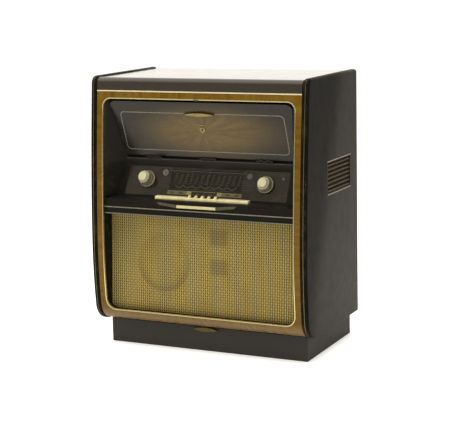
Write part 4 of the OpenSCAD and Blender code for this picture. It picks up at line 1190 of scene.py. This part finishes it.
for row in (
        ("recess_lining", LACQUER, "black_lacquer", 0.4, 2, True, 50),
        ("dial_surround", LACQUER, "black_lacquer", 0.0, 2, False),
        ("baffle_board", SCRIM, "plywood", 0.5),
        ("side_vents", VENT, "vent_plastic", 0.6),
        ("flap_door", BURST, "sunburst_veneer", 1.4, 3),
        ("flap_pull", PULL_BRASS, "brass", 0.4),
        ("flap_escutcheon", PULL_BRASS, "gilt", 0.35),
        ("flap_hinge_fixed", BLACKED, "dark_steel", 0.25, 1),
        ("flap_hinge_moving", BLACKED, "dark_steel", 0.25, 1),
        ("flap_stays", BRASS, "brass", 0.0, 2, False),
        ("dial_glass", GLASS, "dial_glass", 0.5),
        ("dial_scale", SCALE, "dial_scale", 0.3),
        ("dial_pointer", POINTER, "pointer", 0.2, 1),
        ("radio_chassis", STEEL, "zinc_steel", 0.5),
        ("transformer", DARK_STEEL, "dark_steel", 0.6),
        ("valves", TUBE, "valve_glass", 0.0),
        ("tuning_capacitor", ALUMINIUM, "aluminium", 0.2, 1),
        ("tuning_rotor", ALUMINIUM, "aluminium", 0.15, 1),
        ("key_rod", STEEL, "zinc_steel", 0.3, 1),
        ("tone_bar_wings", WING, "gilt", 0.4),
        ("tone_bar", BAR_IVORY, "ivory_plastic", 0.9, 3)):
    dress(*row)

for i in range(1, 14):
    dress("key_%d" % i, IVORY if i % 2 else IVORY_B, "ivory_plastic", 0.5, 3, dissolve=False)

for row in (
        ("deck_board", DECK_PLY, "plywood", 0.8),
        ("deck_plate", CREAM, "cream_paint", 0.8, 3),
        ("changer_motor", DARK_STEEL, "dark_steel", 0.8),
        ("platter", ALUMINIUM, "aluminium", 0.6),
        ("platter_mat", MAT_RUBBER, "rubber_mat", 0.4),
        ("spindle", CHROME, "chrome", 0.4),
        ("tonearm_yoke", DARK_STEEL, "dark_steel", 0.5),
        ("tonearm", CREAM, "ivory_plastic", 0.9, 3),
        ("speed_lever", IVORY, "ivory_plastic", 0.6),
        ("woofer", CONE, "speaker_metal", 0.3, 1),
        ("small_speakers", CONE, "speaker_metal", 0.3, 1),
        ("mains_cord", CORD, "cord_rubber", 0.3, 1)):
    dress(*row)


# ---------------------------------------------------------------- knobs, as (radius, w) stations
def knob_cap(name, node, x, h):
    """Fluted cap of height h with a stepped face, and a metal band round its shoulder."""
    r = KNOB_R
    profile = [
        (2.9, -60), (2.9, 14.3), (7, 14.3), (r - 8.9, 14.3), (r - 8.4, 14.7),
        (r - 8.2, 15.4), (r - 8.35, 17), (r - 8.7, h - 13), (r - 8.9, h - 11.2),
        (r - 9.5, h - 10.2), (r - 10.8, h - 9.6), (r - 12.4, h - 9.3), (r - 12.9, h - 8.8),
        (r - 13.1, h - 8.0), (r - 12.8, h - 7.2), (r - 12.8, h - 3.4), (r - 13.0, h - 2.2),
        (r - 13.6, h - 1.2), (r - 14.5, h - 0.5), (r - 15.8, h - 0.1), (11.0, h),
        (10.2, h - 0.35), (9.4, h - 0.35), (8.8, h - 0.05), (6.2, h - 0.1),
        (5.6, h - 0.45), (4.8, h - 0.45), (4.2, h - 0.15), (1.2, h - 0.1)]
    band = [(r - 8.95, h - 10.95), (r - 8.15, h - 10.75), (r - 8.1, h - 10.1),
            (r - 8.9, h - 9.5), (r - 10.6, h - 9.2), (r - 11.6, h - 9.25), (r - 11.6, h - 10.2)]
    body = BODY_OF[node]
    cap = add_mesh(name, turned(on_dial, (x, KNOB_V), profile, 96, flute=(30, 0.55, 6, 8)),
                   CAP, body=body, smooth=34)
    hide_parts(node)
    add_mesh(name + "_band", turned(on_dial, (x, KNOB_V), band, 96, hollow=True),
             BAND, body=body)


def knob_flange(name, node, x):
    """Lower ring of a knob on its tubular shaft, with a milled rim."""
    r = KNOB_R
    profile = [
        (3.1, -52), (5, -52), (5, 1.3), (8, 1.3), (8, 2.0), (r - 2.4, 2.0), (r - 1.0, 2.5),
        (r - 0.3, 3.4), (r, 4.8), (r - 0.2, 6.2), (r - 0.9, 7.3), (r - 1.9, 8.0),
        (r - 2.8, 8.2), (r - 3.6, 7.9), (r - 4.0, 7.2), (r - 5.2, 7.3), (r - 6.0, 8.1),
        (r - 6.4, 9.2), (r - 6.8, 11.6), (r - 7.3, 12.9), (r - 8.1, 13.4), (r - 9.5, 13.4),
        (r - 10.2, 12.8), (5, 12.8), (3.1, 12.8)]
    shape = turned(on_dial, (x, KNOB_V), profile, 96, flute=(48, 0.35, 5, 9), hollow=True)
    ob = add_mesh(name, shape, FLANGE, body=BODY_OF[node], smooth=40)
    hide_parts(node)


knob_cap("volume_cap", "volume_knob", -KNOB_X, VOLUME_H)
knob_cap("tuning_cap", "tuning_knob", KNOB_X, TUNING_H)
knob_flange("tone_flange", "tone_ring", -KNOB_X)
knob_flange("antenna_flange", "antenna_ring", KNOB_X)


# ---------------------------------------------------------------- flap line, catch, ledge line
def flap_inlay():
    loop = rounded_loop(290, 21.5, 157, 14, 14, arc_steps=8, across_steps=10, up_steps=10)
    add_mesh("flap_inlay", strip(loop, 2.3, 0.28, on_flap, base=-0.06, closed=True),
             INLAY, body="flap")


def flap_catch():
    """Small plate on the bezel above the flap."""
    z, depth = OPEN_Z1 - 2.0, 1.5
    y = on_front(0, profile_s(z, depth), depth)[1] + 1.4
    shape = block(lambda x, v, w: (x, y - w, z + v), (-8.5, -2.0, -1.0), (8.5, 3.2, 2.6))
    bevel(add_mesh("flap_catch", shape, DARK_STEEL, smooth=40), width=0.7)


flap_inlay()
flap_catch()
# painted highlight: a lighter strip along the surround's top front edge
add_mesh("surround_ledge_line", block(in_cabinet, (-301.0, -113.25, 620.0),
                                      (301.0, -112.9, 621.1)), LEDGE_HIGHLIGHT, smooth=40)

# ---------------------------------------------------------------- dial printing
PRINT_W = -1.02  # level of the printed face
# level lines in printing order: v, x from, x to, width
UPPER_LINES = [(91.2, -137, 137, 1.6), (97.2, -141, 141, 0.6), (86.5, -128, 128, 0.3)]
BASE_LINE = (30.5, -111, 111, 0.7)
SIDE_LINES = []
for v in (66, 60, 54, 48, 42, 36):
    SIDE_LINES += [(v, -176, -126, 0.5), (v, 126, 174, 0.5)]
for v in (96, 92.5, 89):
    SIDE_LINES += [(v, 180, 284, 0.35), (v, -284, -182, 0.22)]
for v in (24, 19.5, 15, 10.5):
    SIDE_LINES += [(v, -280, -160, 0.25), (v, 160, 282, 0.3)]


def printed(points, width, height=0.10):
    return strip(points, width, height, on_dial, PRINT_W)


def level_line(v, x_from, x_to, width, height=0.10):
    return printed([(x_from, v), (x_to, v)], width, height)


def station_ticks():
    """13 columns of six slanting ticks, each column with a bent line through it."""
    parts = []
    for i in range(13):
        x = -114 + i * 19.0
        for k in range(6):
            v = 50.0 + k * 6.0
            half = (6.0 + 3.0 * ((i * 7 + k * 5) % 4) / 3) / 2
            lean = 3.0 + 0.9 * k
            parts.append(printed([(x - half + lean, v), (x + half + lean, v + 1.6)], 1.0))
        parts.append(printed([(x - 6, 46), (x + 1, 62), (x + 5, 82)], 0.6))
    return parts


def scallops():
    """Seven hanging arcs side by side."""
    pitch, steps = 222 / 7, 10
    parts = []
    for i in range(7):
        left = -111 + pitch * i
        parts.append(printed([(left + pitch * t / steps, 36.2 + 8.0 * (2 * t / steps - 1) ** 2)
                              for t in range(steps + 1)], 1.7))
    return parts


def oval_mark(x):
    """Small oval plate on a label strip; its top outline is doubled."""
    angles = [TURN * i / 24 for i in range(24)]
    return capped([[on_dial(x + 9 * math.cos(a), 18 + 2.6 * math.sin(a), w) for a in angles]
                   for w in (PRINT_W + 0.4, PRINT_W + 0.62, PRINT_W + 0.62)])


def dial_lines():
    parts = [level_line(*row) for row in UPPER_LINES] + station_ticks() + scallops()
    parts += [level_line(*row) for row in [BASE_LINE] + SIDE_LINES]
    parts += [printed([(x, 9), (x, 99)], 0.35) for x in (-283, 283)]
    add_mesh("dial_lines", merge(parts), PRINT)
    # painted highlight: a lighter line round the glass's edge
    border = [(-288.4, 6.6), (288.4, 6.6), (288.4, 101.2), (-288.4, 101.2)]
    add_mesh("dial_edge_highlight", strip(border, 0.9, 0.10, on_dial, PRINT_W, closed=True),
             GLASS_EDGE_HIGHLIGHT)


def dial_labels():
    """A strip on either side of the middle, its inner end gold, with two dark oval marks."""
    v0, v1 = 12.0, 25.0
    ends, strips, marks = [], [], []
    for side in (-1, 1):
        for parts, near, far, height in ((ends, 46, 63, 0.6), (strips, 63.6, 133, 0.5)):
            x0, x1 = sorted((side * near, side * far))
            parts.append(block(on_dial, (x0, v0, PRINT_W), (x1, v1, PRINT_W + height)))
        marks += [oval_mark(side * 84), oval_mark(side * 117)]
    ends.append(level_line(24.4, -44, 44, 1.3, 0.3))
    for i in range(5):
        x = -46.4 + i * 23.2
        ends.append(level_line(15.0, x - 6, x + 6, 0.6, 0.2))
    add_mesh("dial_label_ends", merge(ends), PRINT_GOLD, smooth=40)
    add_mesh("dial_label_strips", merge(strips), PRINT_TAN, smooth=40)
    add_mesh("dial_label_marks", merge(marks), PRINT_DARK, smooth=40)


# lamp parts: (radius, height above the printed face)
LAMP_RING_SECTION = [(7.0, 0), (10.2, 0), (10.2, 0.5), (9.3, 1.0), (7.9, 1.0), (7.0, 0.5)]
LAMP_LENS = [(6.95, 0), (6.95, 0.3), (5.4, 0.75), (3.4, 1.0), (1.2, 1.1)]
PILOT_LENS = [(4.7, 0), (4.7, 0.4), (3.9, 0.9), (2.2, 1.3), (0.8, 1.4)]


def lamp_part(name, centre, profile, steps, mat, smooth, hollow=False):
    profile = [(r, PRINT_W + w) for r, w in profile]
    add_mesh(name, turned(on_dial, centre, profile, steps, hollow=hollow), mat,
             smooth=smooth)


dial_lines()
dial_labels()
for x, side, ring_mat, lens_mat in ((-151.6, "left", LAMP_RING, LENS_OLIVE),
                                    (151.6, "right", LAMP_DIM, LENS_GREY)):
    lamp_part("indicator_ring_" + side, (x, 83.7), LAMP_RING_SECTION, 48, ring_mat,
              smooth=50, hollow=True)
    lamp_part("indicator_lens_" + side, (x, 83.7), LAMP_LENS, 40, lens_mat,
              smooth=60)
lamp_part("pilot_lens", (268, 80.5), PILOT_LENS, 32, LENS_OLIVE, smooth=60)


# ---------------------------------------------------------------- vents and back screws
def vent_highlight_bead(sign, z, name):
    """Oval bead along the vent, drawn in at both ends, in a lighter metal that paints a highlight
    line.
    """
    stations = ((VENT_Y0 + 0.4, 0.55), (VENT_Y0 + 1.4, 1.0), (20.0, 1.0), (100.0, 1.0),
                (VENT_Y1 - 1.4, 1.0), (VENT_Y1 - 0.4, 0.55))  # (y, thickness)
    angles = [TURN * i / 16 for i in range(16)]
    rings = [[(sign * (HALF_W + 0.2 + 1.3 * k * math.cos(a)), y, z + 1.7 * k * math.sin(a))
              for a in angles] for y, k in stations]
    add_mesh(name, capped(rings), BEAD_HIGHLIGHT, smooth=60)


def vent_slat_highlights(sign, name):
    """Seven thin lighter bars just inside the side face, painted highlights on the slats' edges.
    """
    margin, end_gap, count = 6, 5.4, 7
    pitch = (VENT_Z1 - VENT_Z0 - 2 * margin) / count
    parts = []
    for i in range(count):
        z = VENT_Z0 + margin + pitch * (i + 0.5)
        parts.append(block(lambda x, y, z: (sign * (HALF_W + x), y, z),
                           (-2.3, VENT_Y0 + end_gap, z - 2.0),
                           (-1.6, VENT_Y1 - end_gap, z - 1.0)))
    add_mesh(name, merge(parts), SLAT_HIGHLIGHT, smooth=40)


for sign, side in ((-1, "left"), (1, "right")):
    vent_highlight_bead(sign, VENT_Z1 - 1.6, "vent_bead_%s_top" % side)
    vent_highlight_bead(sign, VENT_Z0 + 1.8, "vent_bead_%s_foot" % side)
    vent_slat_highlights(sign, "vent_slat_highlights_" + side)

SCREW_HEAD = [(4.6, -0.5), (4.6, 0.5), (4.0, 1.4), (2.6, 2.1), (0.8, 2.4)]  # (radius, out)
SCREW_PLACES = [(-340, 110), (0, 110), (340, 110), (-340, 480), (340, 480),
                (-340, 850), (0, 850), (340, 850)]  # (x, z)
for i, centre in enumerate(SCREW_PLACES):
    head = turned(lambda x, z, out: (x, COVER_Y + out, z), centre, SCREW_HEAD, 28)
    add_mesh("back_screw_%d" % i, head, STEEL)


# ---------------------------------------------------------------- floor, world, lights, camera
def floor():
    """Pale floor, lifted a little for the camera only."""
    g, p = new_material("floor_pale")
    col = g.mix(g.uneven(g.noise(p, size=900.0, detail=2.0), to=(0.0, 1.0)),
                (0.90, 0.90, 0.90), (0.93, 0.93, 0.93))
    camera_ray = g.node("ShaderNodeLightPath").outputs["Is Camera Ray"]
    mat = g.bsdf(Base_Color=col, Roughness=0.8, Specular_IOR_Level=0.0,
                 Emission_Color=(1.0, 1.0, 1.0), Emission_Strength=g.times(camera_ray, 0.30))
    me = bpy.data.meshes.new("floor")
    half = 90.0  # metres
    me.from_pydata([(-half, -half, 0), (half, -half, 0), (half, half, 0), (-half, half, 0)],
                   [], [(0, 1, 2, 3)])
    me.materials.append(mat)
    link("floor", me)


def studio_world():
    """White to the camera; as light it is warm, dimmer towards -Y, stronger in reflections."""
    world = bpy.data.worlds.new("studio")
    scene.world = world
    g = Graph(world)
    y = g.split(g.node("ShaderNodeTexCoord").outputs["Generated"])[1]
    rays = g.node("ShaderNodeLightPath").outputs
    dimmed = g.fade(y, over=(-0.80, -0.25), to=(0.20, 1.0))
    level = g.mix(rays["Is Camera Ray"], dimmed, 1.0, kind="FLOAT")
    colour = g.mix(rays["Is Camera Ray"], (1.0, 0.965, 0.90), (1.0, 1.0, 1.0))
    glossy_gain = g.math("MULTIPLY_ADD", rays["Is Glossy Ray"], 0.25, 1.0)
    background = g.fill(g.node("ShaderNodeBackground"), (colour, g.times(level, glossy_gain)))
    g.put(g.node("ShaderNodeOutputWorld").inputs[0], background)


def area_light(name, place, target, size, energy):
    """Warm rectangular light, in metres, that stays out of reflections."""
    data = bpy.data.lights.new(name, "AREA")
    data.shape = "RECTANGLE"
    data.size, data.size_y = size
    data.energy = energy
    data.color = (1.0, 0.97, 0.91)
    ob = link(name, data)
    ob.location = place
    ob.rotation_mode = "QUATERNION"
    ob.rotation_quaternion = (Vector(target) - Vector(place)).to_track_quat("-Z", "Y")
    ob.visible_glossy = False


def camera():
    """Long lens from the front right, looking slightly down."""
    place = (1.95308, -3.98486, 1.23252)  # metres
    yaw, pitch, roll = [math.radians(a) for a in (26.103, 10.188, -1.381)]
    data = bpy.data.cameras.new("cam")
    ob = link("cam", data)
    ahead = Vector((-math.sin(yaw) * math.cos(pitch), math.cos(yaw) * math.cos(pitch),
                    -math.sin(pitch)))
    level_right = ahead.cross(Vector((0, 0, 1))).normalized()
    level_up = level_right.cross(ahead)
    right = level_right * math.cos(roll) + level_up * math.sin(roll)
    up = -level_right * math.sin(roll) + level_up * math.cos(roll)
    rows = [(right[i], up[i], -ahead[i], place[i]) for i in range(3)]
    ob.matrix_world = Matrix((*rows, (0, 0, 0, 1)))
    data.sensor_width = 36.0
    data.lens = 108.716
    data.clip_start, data.clip_end = 0.05, 400
    scene.camera = ob


floor()
studio_world()
area_light("overhead", place=(0.0, -0.6, 4.2), target=(0, 0, 0), size=(4.5, 4.5), energy=210)
area_light("key_left", place=(-3.2, -3.0, 2.6), target=(0, -0.1, 0.5), size=(2.0, 2.4),
           energy=60)
area_light("fill_front", place=(1.4, -4.6, 1.4), target=(0, -0.1, 0.45), size=(2.6, 1.8),
           energy=26)
camera()
scene.view_settings.view_transform = "Standard"
scene.view_settings.look = "None"
scene.view_settings.exposure = 0.0

bpy.context.view_layer.update()
